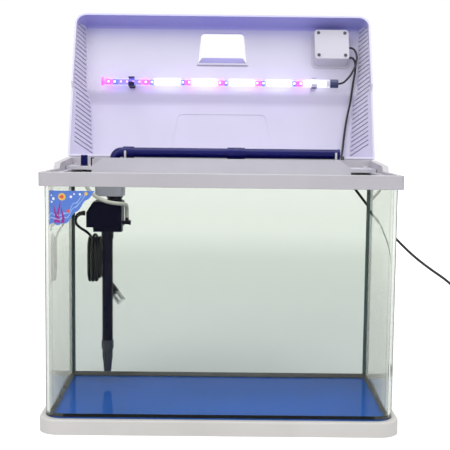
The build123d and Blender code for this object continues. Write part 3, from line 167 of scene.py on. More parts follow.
def along_way(tree, vector, way):
    """How far a vector reaches in a fixed direction."""
    reach = tree.nodes.new("ShaderNodeVectorMath")
    reach.operation = "DOT_PRODUCT"
    reach.inputs[1].default_value = way
    tree.links.new(vector, reach.inputs[0])
    return reach.outputs["Value"]


def share_of(tree, value, low, high):
    """A value turned to 0 at low and 1 at high."""
    scale = tree.nodes.new("ShaderNodeMapRange")
    scale.inputs["From Min"].default_value = low
    scale.inputs["From Max"].default_value = high
    tree.links.new(value, scale.inputs["Value"])
    return scale.outputs["Result"]


def combined(tree, operation, first, second):
    """The product of two values, or the larger of them."""
    node = tree.nodes.new("ShaderNodeMath")
    node.operation = operation
    tree.links.new(first, node.inputs[0])
    tree.links.new(second, node.inputs[1])
    return node.outputs["Value"]


def blended(tree, share, stops, easing="LINEAR"):
    """Colours blended along a value, given as stops of place and colour."""
    node = tree.nodes.new("ShaderNodeValToRGB")
    ramp = node.color_ramp
    ramp.interpolation = easing
    ramp.elements[0].position, ramp.elements[0].color = stops[0]
    ramp.elements[1].position, ramp.elements[1].color = stops[-1]
    for position, colour in stops[1:-1]:
        ramp.elements.new(position).color = colour
    tree.links.new(share, node.inputs["Fac"])
    return node.outputs["Color"]


def between(tree, share, low, high, start=0.3, end=0.7):
    """Two colours blended by a value that runs from start to end."""
    return blended(tree, share, [(start, low), (end, high)])


def spread(tree, share, low, high):
    """A value from 0 to 1 turned to a value from low to high."""
    scale = tree.nodes.new("ShaderNodeMapRange")
    scale.inputs["To Min"].default_value = low
    scale.inputs["To Max"].default_value = high
    tree.links.new(share, scale.inputs["Value"])
    return scale.outputs["Result"]


def bumps(tree, shader, height, depth):
    """Relief in the surface, its full depth in metres."""
    bump = tree.nodes.new("ShaderNodeBump")
    bump.inputs["Strength"].default_value = 1.0
    bump.inputs["Distance"].default_value = depth
    tree.links.new(height, bump.inputs["Height"])
    tree.links.new(bump.outputs["Normal"], shader.inputs["Normal"])


def shade(colour, share):
    """A colour made darker or lighter."""
    return tuple(min(1.0, c * share) for c in colour[:3]) + (1.0,)


# How far the polish of a moulding drifts from its own roughness
polish_smoother = 0.06
polish_rougher = 0.08


def uneven_polish(tree, shader, place, roughness):
    """A roughness that drifts a little over the piece."""
    drift = cloudy(tree, place, scale=60.0, detail=5.0)
    polish = spread(tree, drift, roughness - polish_smoother, roughness + polish_rougher)
    tree.links.new(polish, shader.inputs["Roughness"])


# The grain that most of the mouldings have, and its relief
fine_grain = 1400.0
fine_depth = 0.00002


def moulded(name, colour, roughness, grain=fine_grain, depth=fine_depth, drift=0.05, shine=0.5):
    """Moulded plastic: a fine even grain, and a slow drift in tone and polish."""
    material, tree, shader, place = new_finish(name)
    slow = cloudy(tree, place, scale=9.0, detail=4.0)
    tone = between(tree, slow, shade(colour, 1 - drift), shade(colour, 1 + drift))
    tree.links.new(tone, shader.inputs["Base Color"])
    uneven_polish(tree, shader, place, roughness)
    shader.inputs["Specular IOR Level"].default_value = shine
    bumps(tree, shader, cloudy(tree, place, grain), depth)
    return material


# What clear pieces let through in place of a shadow, and the tone of their gloss
clear_shadow = (0.97, 0.98, 0.975, 1.0)
clear_gloss = (0.06, 0.06, 0.06, 1.0)


def see_through(name, colour, roughness, ior, edge=None):
    """Glass or clear plastic, its edge tint given as colour and density."""
    material, tree, shader, place = new_finish(name)
    shader.inputs["Base Color"].default_value = colour
    shader.inputs["Specular Tint"].default_value = clear_gloss
    shader.inputs["Transmission Weight"].default_value = 1.0
    shader.inputs["IOR"].default_value = ior
    shader.inputs["Roughness"].default_value = roughness
    light = tree.nodes.new("ShaderNodeLightPath")
    clear = tree.nodes.new("ShaderNodeBsdfTransparent")
    clear.inputs["Color"].default_value = clear_shadow
    mix = tree.nodes.new("ShaderNodeMixShader")
    tree.links.new(light.outputs["Is Shadow Ray"], mix.inputs["Fac"])
    tree.links.new(shader.outputs["BSDF"], mix.inputs[1])
    tree.links.new(clear.outputs["BSDF"], mix.inputs[2])
    output = tree.nodes["Material Output"]
    tree.links.new(mix.outputs["Shader"], output.inputs["Surface"])
    if edge is not None:
        depth = tree.nodes.new("ShaderNodeVolumeAbsorption")
        depth.inputs["Color"].default_value = edge[0]
        depth.inputs["Density"].default_value = edge[1]
        tree.links.new(depth.outputs["Volume"], output.inputs["Volume"])
    return material


# Where the front glass's bent corners end, and the run over which their painted dark shade comes
# in
bend_end_y = -72.0
bend_fade = 8.0


def bend_painted_dark(material, face_colour, painted_dark_colour):
    """Glass that is pale face on, with a painted dark green shade where its bend is seen along the
    sheet.
    """
    tree = material.node_tree
    facing = tree.nodes.new("ShaderNodeLayerWeight")
    facing.inputs["Blend"].default_value = 0.5
    depth = along_axis(tree, tree.nodes["Texture Coordinate"].outputs["Object"], "Y")
    bend = share_of(tree, depth, bend_end_y * MM, (bend_end_y - bend_fade) * MM)
    share = combined(tree, "MULTIPLY", facing.outputs["Facing"], bend)
    tone = between(tree, share, face_colour, painted_dark_colour, start=0.70, end=0.80)
    tree.links.new(tone, tree.nodes["Principled BSDF"].inputs["Base Color"])


def painted_shade_by_height(material, steps):
    """Glass with a painted shade that changes with height, given as metres up and tint."""
    tree = material.node_tree
    height = along_axis(tree, tree.nodes["Texture Coordinate"].outputs["Object"], "Z")
    low = steps[0][0]
    high = steps[-1][0]
    stops = [((level - low) / (high - low), (*tint, 1)) for level, tint in steps]
    tone = blended(tree, share_of(tree, height, low, high), stops)
    tree.links.new(tone, tree.nodes["Principled BSDF"].inputs["Base Color"])


trim_roughness = 0.32
# How strongly the painted glow of the left end cap shines
cap_glow = 0.55


def two_toned(name, left_colour, right_colour, left_glow=None):
    """One moulding's left copy in one colour and its right copy in another, the left one with an
    optional painted glow.
    """
    material, tree, shader, place = new_finish(name)
    side = tree.nodes.new("ShaderNodeMath")
    side.operation = "GREATER_THAN"
    side.inputs[1].default_value = 0.0
    tree.links.new(along_axis(tree, place, "X"), side.inputs[0])
    at_right = side.outputs["Value"]
    tone = between(tree, at_right, left_colour, right_colour, start=0.0, end=1.0)
    tree.links.new(tone, shader.inputs["Base Color"])
    uneven_polish(tree, shader, place, trim_roughness)
    bumps(tree, shader, cloudy(tree, place, fine_grain), fine_depth)
    if left_glow is not None:
        lit = between(tree, at_right, left_glow, (0, 0, 0, 1), start=0.0, end=1.0)
        tree.links.new(lit, shader.inputs["Emission Color"])
        shader.inputs["Emission Strength"].default_value = cap_glow
    return material


# The light chips from left to right: P pink, B blue, V violet, W white
chip_pattern = "PBVVVVPBWWWWBPWWWWPBWWWWPBWWWWBPWWWW"
chip_first_x = -196.2
chip_pitch = 10.7
# The light that each kind leaves on the strip and the tube
glow_colours = {
    "P": (0.42, 0.02, 0.26, 1),
    "B": (0.015, 0.03, 0.55, 1),
    "V": (0.055, 0.045, 0.23, 1),
    "W": (0.34, 0.33, 0.36, 1),
}


def chip_runs():
    """The light chips as runs of one kind: kind, first place, last place."""
    runs = []
    for i, kind in enumerate(chip_pattern):
        if runs and runs[-1][0] == kind:
            runs[-1][2] = i
        else:
            runs.append([kind, i, i])
    return runs


def facing_share(tree, normal, way, low, high):
    """1 where the piece's own surface faces a fixed way, 0 elsewhere."""
    return share_of(tree, along_way(tree, normal, way), low, high)


def chip_light(tree, place):
    """The light's colour along the tube, blended where one run of chips meets the next."""
    count = len(chip_pattern)
    left = (chip_first_x - chip_pitch) * MM
    right = (chip_first_x + chip_pitch * count) * MM
    share = share_of(tree, along_axis(tree, place, "X"), left, right)
    stops = []
    for kind, first, last in chip_runs():
        for i in sorted({first, last}):
            stops.append(((i + 1) / (count + 1), glow_colours[kind]))
    return blended(tree, share, stops, "EASE")


def lit_strip(name, strength, back_strength):
    """The chip strip's white board, with the light of the chips beside each place painted on as a
    glow.
    """
    material, tree, shader, place = new_finish(name)
    light = chip_light(tree, place)
    tree.links.new(light, shader.inputs["Base Color"])
    tree.links.new(light, shader.inputs["Emission Color"])
    normal = tree.nodes["Texture Coordinate"].outputs["Normal"]
    # The back face, which looks at the panel, has a stronger painted glow.
    back = facing_share(tree, normal, hood_upward, low=0.4, high=0.6)
    glow = spread(tree, back, strength, back_strength)
    tree.links.new(glow, shader.inputs["Emission Strength"])
    shader.inputs["Roughness"].default_value = 0.5
    bumps(tree, shader, cloudy(tree, place, scale=900.0), depth=0.00003)
    return material


def lit_tube(name, colour, strength):
    """The clear tube round the strip, with a little of the chips' light in it."""
    material = see_through(name, colour, roughness=0.02, ior=1.15)
    tree = material.node_tree
    shader = tree.nodes["Principled BSDF"]
    light = chip_light(tree, tree.nodes["Texture Coordinate"].outputs["Object"])
    tree.links.new(light, shader.inputs["Emission Color"])
    shader.inputs["Emission Strength"].default_value = strength
    return material


def glowing(name, colour, strength, body):
    """A lit chip: a coloured lens that gives off a little light."""
    material, tree, shader, place = new_finish(name)
    drift = cloudy(tree, place, scale=700.0)
    tone = between(tree, drift, shade(body, 0.9), shade(body, 1.1))
    tree.links.new(tone, shader.inputs["Base Color"])
    shader.inputs["Emission Color"].default_value = colour
    shader.inputs["Emission Strength"].default_value = strength
    shader.inputs["Roughness"].default_value = 0.2
    return material


base_plastic = moulded("base_plastic", paint(207, 204, 201), 0.42)
frame_plastic = moulded("frame_plastic", paint(184, 181, 187), 0.36)
tray_plastic = moulded("tray_plastic", paint(205, 202, 212), 0.40)
socket_plastic = moulded("socket_plastic", paint(164, 166, 178), 0.35)
pump_black = moulded("pump_black", paint(1, 0, 34), 0.38, drift=0.15, shine=0.08)
tee_black = moulded("tee_black", paint(8, 7, 34), 0.34, drift=0.15, shine=0.2)
pipe_navy = moulded("pipe_navy", paint(5, 8, 92), 0.22, drift=0.12, shine=0.25)
intake_navy = moulded("intake_navy", paint(3, 2, 34), 0.28, drift=0.12, shine=0.12)
strainer_grey = moulded("strainer_grey", paint(66, 69, 80), 0.40, shine=0.3)
black_rubber = moulded(
    "black_rubber", paint(24, 24, 26), 0.62, grain=900.0, depth=0.00004, drift=0.2
)
white_plastic = moulded("white_plastic", paint(232, 230, 236), 0.32)
driver_white = moulded("driver_white", paint(196, 194, 206), 0.36)
dark_screw = moulded(
    "dark_screw", paint(70, 72, 84), 0.32, grain=2200.0, depth=0.00001, drift=0.12
)
cap_finish = two_toned(
    "cap_finish", paint(246, 120, 220), paint(48, 54, 98), left_glow=paint(255, 70, 205)
)
clip_finish = two_toned("clip_finish", paint(14, 8, 62), paint(214, 212, 236))
cord_black = moulded(
    "cord_black", paint(22, 22, 27), 0.46, grain=1100.0, depth=0.00005, drift=0.15
)
plug_black = moulded(
    "plug_black", paint(28, 28, 33), 0.44, grain=1000.0, depth=0.00004, drift=0.15
)
board_green = moulded("board_green", paint(34, 92, 58), 0.4)
magnet_grey = moulded("magnet_grey", paint(70, 70, 76), 0.5)
strip_glow = lit_strip("strip_glow", strength=3.0, back_strength=6.5)
hood_plastic = moulded("hood_plastic", paint(211, 208, 228), 0.36, drift=0.03)
feed_white = moulded("feed_white", paint(209, 206, 228), 0.36, drift=0.03)
# A darker grey that paints the shade in the vent slots and the shadow under the feed lip
louvre_shade_grey = moulded("louvre_shade_grey", paint(158, 154, 174), 0.5, shine=0.2)
mat_blue = moulded(
    "mat_blue", paint(88, 156, 236), 0.40, grain=300.0, depth=0.00006, drift=0.04, shine=0.1
)
steel = moulded("steel", paint(196, 196, 198), 0.25, grain=2500.0, depth=0.00001)
steel.node_tree.nodes["Principled BSDF"].inputs["Metallic"].default_value = 1.0
silicone = moulded(
    "silicone", paint(92, 112, 108), 0.28, grain=500.0, depth=0.00008, drift=0.12, shine=0.2
)
floor_seal = moulded(
    "floor_seal", paint(86, 86, 84), 0.28, grain=500.0, depth=0.00008, drift=0.12, shine=0.2
)
glass_white = paint(252, 254, 253)
glass_tint = (paint(132, 160, 146), 30.0)
tank_glass = see_through("tank_glass", glass_white, roughness=0.0, ior=1.5, edge=glass_tint)
bend_painted_dark(tank_glass, (0.83, 0.83, 0.80, 1), paint(20, 34, 30))
rear_pane = see_through("rear_pane", glass_white, roughness=0.0, ior=1.5, edge=glass_tint)
# The rear pane's tone by height is painted shade.
painted_shade_by_height(
    rear_pane,
    [
        (0.08, (0.73, 0.77, 0.77)),
        (0.22, (0.65, 0.69, 0.65)),
        (0.34, (0.82, 0.84, 0.81)),
    ],
)
floor_pane = see_through("floor_pane", paint(246, 250, 252), roughness=0.0, ior=1.12)
clear_plastic = see_through("clear_plastic", paint(238, 240, 240), roughness=0.03, ior=1.25)
hose_milky = moulded(
    "hose_milky", paint(206, 207, 196), 0.26, grain=700.0, depth=0.00003, drift=0.06
)
tube_hard = lit_tube("tube_hard", paint(252, 251, 254), strength=0.7)
chip_pink = glowing("chip_pink", paint(255, 190, 240), strength=2.6, body=paint(240, 170, 220))
chip_blue = glowing("chip_blue", paint(190, 200, 255), strength=3.0, body=paint(90, 110, 235))
chip_violet = glowing("chip_violet", paint(205, 160, 255), strength=1.3, body=paint(225, 150, 240))
chip_white = glowing("chip_white", paint(250, 248, 255), strength=3.0, body=paint(246, 244, 240))


def tinted(material, share, lit_colour):
    """A finish's own tone, and a painted light's tone where the share is 1."""
    tree = material.node_tree
    tone = tree.nodes["Principled BSDF"].inputs["Base Color"]
    mix = tree.nodes.new("ShaderNodeMix")
    mix.data_type = "RGBA"
    tree.links.new(share, mix.inputs["Factor"])
    tree.links.new(tone.links[0].from_socket, mix.inputs["A"])
    mix.inputs["B"].default_value = lit_colour
    tree.links.new(mix.outputs["Result"], tone)


# How far forward of the hinge the front wall's painted light comes in, and where it is full
wall_light_start = 236.0
wall_light_full = 257.0


def lit_front_wall(material, lit_colour):
    """The hood's front wall has the light tube's lilac light painted on its inner face, where the
    tube shines on it.
    """
    tree = material.node_tree
    texture = tree.nodes["Texture Coordinate"]
    level = along_way(tree, texture.outputs["Object"], hood_rearward)
    hinge_level = (hinge_y * hood_rearward[1] + hinge_z * hood_rearward[2]) * MM
    start = hinge_level - wall_light_start * MM
    full = hinge_level - wall_light_full * MM
    near = share_of(tree, level, start, full)
    inner = facing_share(tree, texture.outputs["Normal"], hood_rearward, low=-0.2, high=0.5)
    tinted(material, combined(tree, "MULTIPLY", near, inner), lit_colour)


# How far the feed door stands open from the panel
feed_turn = math.radians(59)


def lit_feed_door(material, lit_colour):
    """The feed door has the light tube's lilac light painted on its inner face, which lies so with
    the hood and door open.
    """
    tree = material.node_tree
    inner_way = [
        -math.sin(feed_turn) * rearward - math.cos(feed_turn) * upward
        for rearward, upward in zip(hood_rearward, hood_upward)
    ]
    normal = tree.nodes["Texture Coordinate"].outputs["Normal"]
    tinted(material, facing_share(tree, normal, inner_way, low=0.4, high=0.8), lit_colour)


lit_front_wall(hood_plastic, paint(152, 150, 218))
lit_feed_door(feed_white, paint(146, 138, 216))


def sponge_finish():
    """Open foam with round pores, painted darker in their hollows as shade."""
    material, tree, shader, place = new_finish("sponge_foam")
    pores = tree.nodes.new("ShaderNodeTexVoronoi")
    pores.inputs["Scale"].default_value = 420.0
    tree.links.new(place, pores.inputs["Vector"])
    height = pores.outputs["Distance"]
    # The pores' hollows are painted darker, as their shade.
    tone = between(tree, height, paint(58, 60, 70), paint(104, 108, 120), start=0.1, end=0.6)
    tree.links.new(tone, shader.inputs["Base Color"])
    shader.inputs["Roughness"].default_value = 0.9
    bumps(tree, shader, height, depth=0.0012)
    return material


sponge_foam = sponge_finish()


# Small helpers for meshes


def solid(name, points, faces, material):
    """A piece from points in millimetres and faces."""
    mesh = bpy.data.meshes.new(name)
    mesh.from_pydata(in_metres(points), [], faces)
    mesh.validate()
    shell = bmesh.new()
    shell.from_mesh(mesh)
    bmesh.ops.remove_doubles(shell, verts=shell.verts, dist=1e-7)
    bmesh.ops.recalc_face_normals(shell, faces=shell.faces)
    shell.to_mesh(mesh)
    shell.free()
    mesh.materials.append(material)
    return placed(name, mesh)


def smooth(piece, angle=40.0):
    """Soft shading that stays crisp where faces meet at more than the angle."""
    for face in piece.data.polygons:
        face.use_smooth = True
    piece.data.set_sharp_from_angle(angle=math.radians(angle))
    return piece


def rings(name, circles, material):
    """A skin over rings of points, each ring in order, with its ends closed."""
    points = [p for circle in circles for p in circle]
    count = len(circles[0])
    faces = []
    for i in range(len(circles) - 1):
        for k in range(count):
            n = (k + 1) % count
            faces.append((i * count + k, i * count + n, (i + 1) * count + n, (i + 1) * count + k))
    faces.append(tuple(range(count)))
    faces.append(tuple((len(circles) - 1) * count + k for k in range(count)))
    return smooth(solid(name, points, faces, material))


def along(line, radii, name, material, sides):
    """A tube of changing radius along points in millimetres."""
    line = [Vector(p) for p in line]
    circles = []
    turn = None
    for i, middle in enumerate(line):
        before = line[max(i - 1, 0)]
        after = line[min(i + 1, len(line) - 1)]
        heading = (after - before).normalized()
        if turn is None:
            turn = heading.orthogonal().normalized()
        turn = (turn - heading * turn.dot(heading)).normalized()
        side = heading.cross(turn)
        circle = []
        for k in range(sides):
            angle = 2 * math.pi * k / sides
            way = math.cos(angle) * turn + math.sin(angle) * side
            circle.append(middle + radii[i] * way)
        circles.append(circle)
    return rings(name, circles, material)


# Cords


def lead(name, points, diameter, material):
    """A cord: one smooth spline through its route, given in millimetres."""
    curve = bpy.data.curves.new(name, "CURVE")
    curve.dimensions = "3D"
    curve.bevel_depth = diameter / 2 * MM
    curve.bevel_resolution = 5
    curve.resolution_u = 10
    curve.use_fill_caps = True
    spline = curve.splines.new("NURBS")
    spline.points.add(len(points) - 1)
    for control, place in zip(spline.points, points):
        control.co = (place[0] * MM, place[1] * MM, place[2] * MM, 1)
    spline.order_u = 3
    spline.use_endpoint_u = True
    curve.materials.append(material)
    return placed(name, curve)


def middle_line(piece):
    """The middle of a cord as points in millimetres, read from its spline."""
    bare = bpy.data.objects.new("bare", piece.data.copy())
    bare.data.bevel_depth = 0
    mesh = bpy.data.meshes.new_from_object(bare)
    line = [v.co / MM for v in mesh.vertices]
    bpy.data.meshes.remove(mesh)
    bpy.data.curves.remove(bare.data)
    return line


def first_part(line, length):
    """The start of a cord's middle line, up to a length."""
    part = [line[0]]
    gone = 0.0
    for a, b in zip(line, line[1:]):
        step = (b - a).length
        if gone + step >= length:
            part.append(a.lerp(b, (length - gone) / step))
            break
        gone += step
        part.append(b)
    return part


arc_points = 8
arc_pull = math.cos(math.pi / arc_points / 2)


def turns(rows, run, side, layer, origin, u_way, v_way, w_way):
    """The turns of a coil or hank: points round each half circle, layer upon layer."""
    places = [(reach, i * layer) for i, row in enumerate(rows) for reach in row]
    points = []
    heading = -1
    for (reach, w), (next_reach, next_w) in zip(places, places[1:]):
        radius = (reach + next_reach) / 2
        middle = side * (reach - next_reach) / 2
        for k in range(arc_points):
            angle = math.pi * (k + 0.5) / arc_points
            u = middle + side * radius * math.cos(angle) / arc_pull
            v = heading * (run / 2 + radius * math.sin(angle) / arc_pull)
            rise = w + (next_w - w) * (1 - math.cos(angle)) / 2
            points.append(
                tuple(
                    origin[i] + u * u_way[i] + v * v_way[i] + rise * w_way[i] for i in range(3)
                )
            )
        side = -side
        heading = -heading
    return points


lead_diameter = 4.5
layer_pitch = 5.2
coil_middle = (448.0, 178.0, 7.45)
coil_rows = [[34.0, 30.9, 27.8, 24.7, 21.6, 18.5], [18.5, 21.6, 24.7, 27.8, 30.9, 34.0]]
coil_turns = turns(
    coil_rows,
    run=0.0,
    side=-1,
    layer=layer_pitch,
    origin=coil_middle,
    u_way=(1, 0, 0),
    v_way=(0, -1, 0),
    w_way=(0, 0, -1),
)
power_route = [
    (202, 134, 381),
    (203, 135, 371),
    (209.5, 138.5, 357.5),
    (224, 144, 338),
    (246, 150.5, 311),
    (272, 156, 281),
    (301, 160.5, 250),
    (331, 165, 222),
    (362, 169.5, 199),
    (391, 172.5, 180),
    (412, 173, 160),
    (423, 169, 134),
    (424.5, 159.5, 106),
    (421, 148, 79),
    (417, 139.5, 54.5),
    (414.3, 136.1, 31),
    (414, 145.1, 15.4),
    (414, 159, 7.45),
]
power_end = [(482, 165.5, 2.25), (482, 156.5, 4.55), (482, 147.5, 7)]
power_lead = lead("mains_cord", power_route + coil_turns + power_end, lead_diameter, cord_black)
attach(power_lead, "root")
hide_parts("power_cord", "power_cord_coil", "power_plug_cord")

hank_middle = (-211.85, 90.0, 224.0)
hank_rows = [
    [23.3, 20.2, 17.1, 14.0],
    [14.0, 17.1, 20.2, 23.3],
    [23.3, 20.2, 17.1, 14.0],
    [14.0, 17.1, 20.2],
]
hank_turns = turns(
    hank_rows,
    run=30.0,
    side=1,
    layer=layer_pitch,
    origin=hank_middle,
    u_way=(0, 1, 0),
    v_way=(0, 0, 1),
    w_way=(1, 0, 0),
)
pump_route = [
    (-220, 90, 297),
    (-227.5, 90, 297),
    (-234, 91.5, 292.5),
    (-236.8, 94, 285),
    (-235, 98.5, 277),
    (-229, 103, 271),
    (-221.5, 107.8, 265.8),
    (-215.2, 111.4, 259.7),
    (-211.85, 113.3, 252),
]
plug_route = [(-196.25, 110.2, 197.5), (-193.4, 107.6, 190.5), (-188.5, 104.8, 184.8)]
pump_lead = lead("pump_cord", pump_route + hank_turns + plug_route, lead_diameter, cord_black)
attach(pump_lead, "root")
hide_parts("pump_lead", "pump_lead_hank", "plug_lead")

air_route = [
    (-150.8, 75, 292),
    (-150.8, 75, 301),
    (-150.6, 70.8, 308.5),
    (-150.6, 62.6, 313.6),
    (-153.6, 53.2, 315.4),
    (-161.5, 46.8, 316.4),
    (-174, 45, 318),
    (-187, 45.5, 321.5),
    (-199, 49, 328),
    (-209, 56, 336),
    (-216, 65.5, 344.5),
    (-218.8, 72, 354),
    (-218.8, 72, 365.5),
]
air_hose = lead("air_hose", air_route, 6.0, hose_milky)
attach(air_hose, "root")
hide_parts("air_tube")

hood_lead_diameter = 3.6
tube_lead_route = [
    (220, -85, 403),
    (226, -85, 403),
    (230.8, -81, 402.7),
    (233.8, -73, 402.4),
    (234, -61, 402),
    (230.5, -47.5, 402),
    (224, -34.5, 402.5),
    (216, -24, 403.5),
    (207, -15.8, 404),
    (198, -15.8, 404),
]
hood_lead_route = [
    (220, -66, 403),
    (226, -66, 403),
    (230.5, -61.5, 405),
    (232.5, -53, 409),
    (231.5, -41, 413.8),
    (229, -28, 418.5),
    (226.5, -11, 422.5),
    (224, 7, 428),
    (219.5, 27, 435.5),
    (215.5, 48, 441.5),
    (212.5, 70, 446),
    (210, 91, 447.5),
    (206.5, 107, 441.5),
    (203.8, 117, 429),
    (202.5, 121.5, 414),
    (202, 123, 401),
    (202, 126, 391.5),
]
for name, node, route, length in (
    ("light_cord", "led_lead", tube_lead_route, 0.0948),
    ("hood_cord", "hood_lead", hood_lead_route, 0.2448),
):
    cord = lead(name, [hood_opened(p) for p in route], hood_lead_diameter, cord_black)
    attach(cord, "hood")
    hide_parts(node)


# Strain reliefs: a tapered sleeve with soft ribs round the start of a lead

relief_steps = 6
rib_depth = 0.45
ribs_start = 0.2
ribs_end = 0.95


def strain_relief(name, cord, length, wide, narrow, ribs):
    """A sleeve along the start of a cord, from its wide end at the cord's exit."""
    line = first_part(middle_line(cord), length)
    fine = []
    for a, b in zip(line, line[1:]):
        for k in range(relief_steps):
            fine.append(a.lerp(b, k / relief_steps))
    fine.append(line[-1])
    gone = [0.0]
    for a, b in zip(fine, fine[1:]):
        gone.append(gone[-1] + (b - a).length)
    radii = []
    for s in gone:
        share = s / gone[-1]
        rib = 0.5 - 0.5 * math.cos(2 * math.pi * ribs * share)
        radius = wide + (narrow - wide) * share
        if ribs_start < share < ribs_end:
            radius -= rib_depth * rib
        radii.append(radius)
    piece = along(fine, radii, name, black_rubber, sides=24)
    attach(piece, "root")
    return piece


pump_relief = strain_relief(
    "pump_strain_relief", pump_lead, length=22.0, wide=4.0, narrow=2.6, ribs=5
)
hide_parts("lead_gland")
strain_relief("power_strain_relief", power_lead, length=24.0, wide=4.2, narrow=2.6, ribs=5)

# The short soft link where the hood's lead passes the hinge
link_line = [
    hood_opened((202, 124.6, 396.5)),
    hood_opened((202, 125.4, 393)),
    (202, 141.5, 389.8),
    (202, 139.4, 387.4),
    (202, 137.0, 385.2),
    (202, 135.2, 383.2),
    (202, 134.2, 380.8),
    (202.2, 134.2, 378.5),
]
link_radii = [2.2, 2.7, 2.8, 2.7, 2.7, 2.8, 2.9, 2.6]
hinge_link = along(link_line, link_radii, "hinge_cord_link", cord_black, sides=20)
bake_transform(hinge_link)


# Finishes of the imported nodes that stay

finishes = {
    "base_frame": base_plastic,
    "base_mat": mat_blue,
    "bottom_glass": floor_pane,
    "bent_front_glass": tank_glass,
    "rear_glass": rear_pane,
    "bottom_seal": floor_seal,
    "rear_seals": silicone,
    "top_frame": frame_plastic,
    "hinge_pins": frame_plastic,
    "filter_tray": tray_plastic,
    "tray_hook": tee_black,
    "pump_socket": socket_plastic,
    "outlet_coupler": tee_black,
    "spray_elbow": pipe_navy,
    "spray_sleeves": pipe_navy,
    "spray_pipe_left": pipe_navy,
    "spray_pipe_right": pipe_navy,
    "spray_end_plug": pipe_navy,
    "pump_cover": pump_black,
    "pump_motor": pump_black,
    "rotor_shaft": steel,
    "rotor_bushes": black_rubber,
    "intake_pipe": intake_navy,
    "strainer": strainer_grey,
    "venturi_tee": tee_black,
    "air_valve_body": tee_black,
    "air_valve_knob": pipe_navy,
    "lead_gland": black_rubber,
    "pump_plug": plug_black,
    "pump_plug_pins": steel,
    "plug_pin_cover": clear_plastic,
    "cord_clip": white_plastic,
    "power_plug": plug_black,
    "power_plug_pins": steel,
    "hood_shell": hood_plastic,
    "feed_door": feed_white,
    "feed_door_pin": steel,
    "driver_box": driver_white,
    "driver_cover": driver_white,
    "driver_screws": dark_screw,
    "driver_board": board_green,
    "led_tube": tube_hard,
    "led_strip": strip_glow,
    "led_chips_pink": chip_pink,
    "led_chips_blue": chip_blue,
    "led_chips_violet": chip_violet,
    "led_chips_white": chip_white,
    "tube_end_caps": cap_finish,
    "tube_clips": clip_finish,
    "impeller": magnet_grey,
}
for name, material in finishes.items():
    node = nodes[name]
    if not node.material_slots:
        node.data.materials.append(material)
    for slot in node.material_slots:
        slot.material = material


# Filter sponge: an open foam block that fills its place in the tray

sponge_voxel = 0.003
pore_least = 0.0004
pore_spread = 0.0006


def make_sponge():
    low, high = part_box("filter_sponge")
    source = nodes["filter_sponge"].data.copy()
    piece = placed("sponge_block", source)
    shell = bmesh.new()
    shell.from_mesh(source)
    bmesh.ops.remove_doubles(shell, verts=shell.verts, dist=1e-6)
    shell.to_mesh(source)
    shell.free()
    remesh = piece.modifiers.new("even", "REMESH")
    remesh.mode = "VOXEL"
    remesh.voxel_size = sponge_voxel
    bpy.context.view_layer.update()
    seen = piece.evaluated_get(bpy.context.evaluated_depsgraph_get())
    even = bpy.data.meshes.new_from_object(seen)
    piece.modifiers.clear()
    piece.data = even
    random = np.random.default_rng(3)
    for vertex in even.vertices:
        vertex.co -= vertex.normal * (pore_least + pore_spread * random.random())
        for i in range(3):
            vertex.co[i] = min(max(vertex.co[i], low[i]), high[i])
    even.materials.clear()
    even.materials.append(sponge_foam)
    smooth(piece, angle=60)
    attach(piece, "root")
    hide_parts("filter_sponge")


make_sponge()


# Repeated and swept details, made by two node trees


def node_tree(name, sizes):
    """An empty tree that takes a mesh, a material and named sizes."""
    tree = bpy.data.node_groups.new(name, "GeometryNodeTree")
    face = tree.interface
    face.new_socket(name="Geometry", in_out="INPUT", socket_type="NodeSocketGeometry")
    for size in sizes:
        face.new_socket(name=size, in_out="INPUT", socket_type="NodeSocketFloat")
    face.new_socket(name="Finish", in_out="INPUT", socket_type="NodeSocketMaterial")
    face.new_socket(name="Geometry", in_out="OUTPUT", socket_type="NodeSocketGeometry")
    return tree, tree.nodes.new("NodeGroupInput"), tree.nodes.new("NodeGroupOutput")


def finish_tree(tree, start, end, geometry):
    """Every tree ends with real faces and its material."""
    real = tree.nodes.new("GeometryNodeRealizeInstances")
    finish = tree.nodes.new("GeometryNodeSetMaterial")
    tree.links.new(geometry, real.inputs["Geometry"])
    tree.links.new(real.outputs["Geometry"], finish.inputs["Geometry"])
    tree.links.new(start.outputs["Finish"], finish.inputs["Material"])
    tree.links.new(finish.outputs["Geometry"], end.inputs["Geometry"])


def bar_tree():
    """A bar of a rectangular section along each line of the mesh."""
    tree, start, end = node_tree("bars_along_lines", ("Width", "Thickness"))
    line = tree.nodes.new("GeometryNodeMeshToCurve")
    section = tree.nodes.new("GeometryNodeCurvePrimitiveQuadrilateral")
    sweep = tree.nodes.new("GeometryNodeCurveToMesh")
    sweep.inputs["Fill Caps"].default_value = True
    tree.links.new(start.outputs["Geometry"], line.inputs["Mesh"])
    tree.links.new(start.outputs["Width"], section.inputs["Width"])
    tree.links.new(start.outputs["Thickness"], section.inputs["Height"])
    tree.links.new(line.outputs["Curve"], sweep.inputs["Curve"])
    tree.links.new(section.outputs["Curve"], sweep.inputs["Profile Curve"])
    finish_tree(tree, start, end, sweep.outputs["Mesh"])
    return tree


def dome_tree():
    """A small round dome at each point of the mesh."""
    tree, start, end = node_tree("domes_at_points", ("Radius",))
    dome = tree.nodes.new("GeometryNodeMeshUVSphere")
    dome.inputs["Segments"].default_value = 10
    dome.inputs["Rings"].default_value = 6
    spots = tree.nodes.new("GeometryNodeMeshToPoints")
    copies = tree.nodes.new("GeometryNodeInstanceOnPoints")
    tree.links.new(start.outputs["Radius"], dome.inputs["Radius"])
    tree.links.new(start.outputs["Geometry"], spots.inputs["Mesh"])
    tree.links.new(spots.outputs["Points"], copies.inputs["Points"])
    tree.links.new(dome.outputs["Mesh"], copies.inputs["Instance"])
    finish_tree(tree, start, end, copies.outputs["Instances"])
    return tree


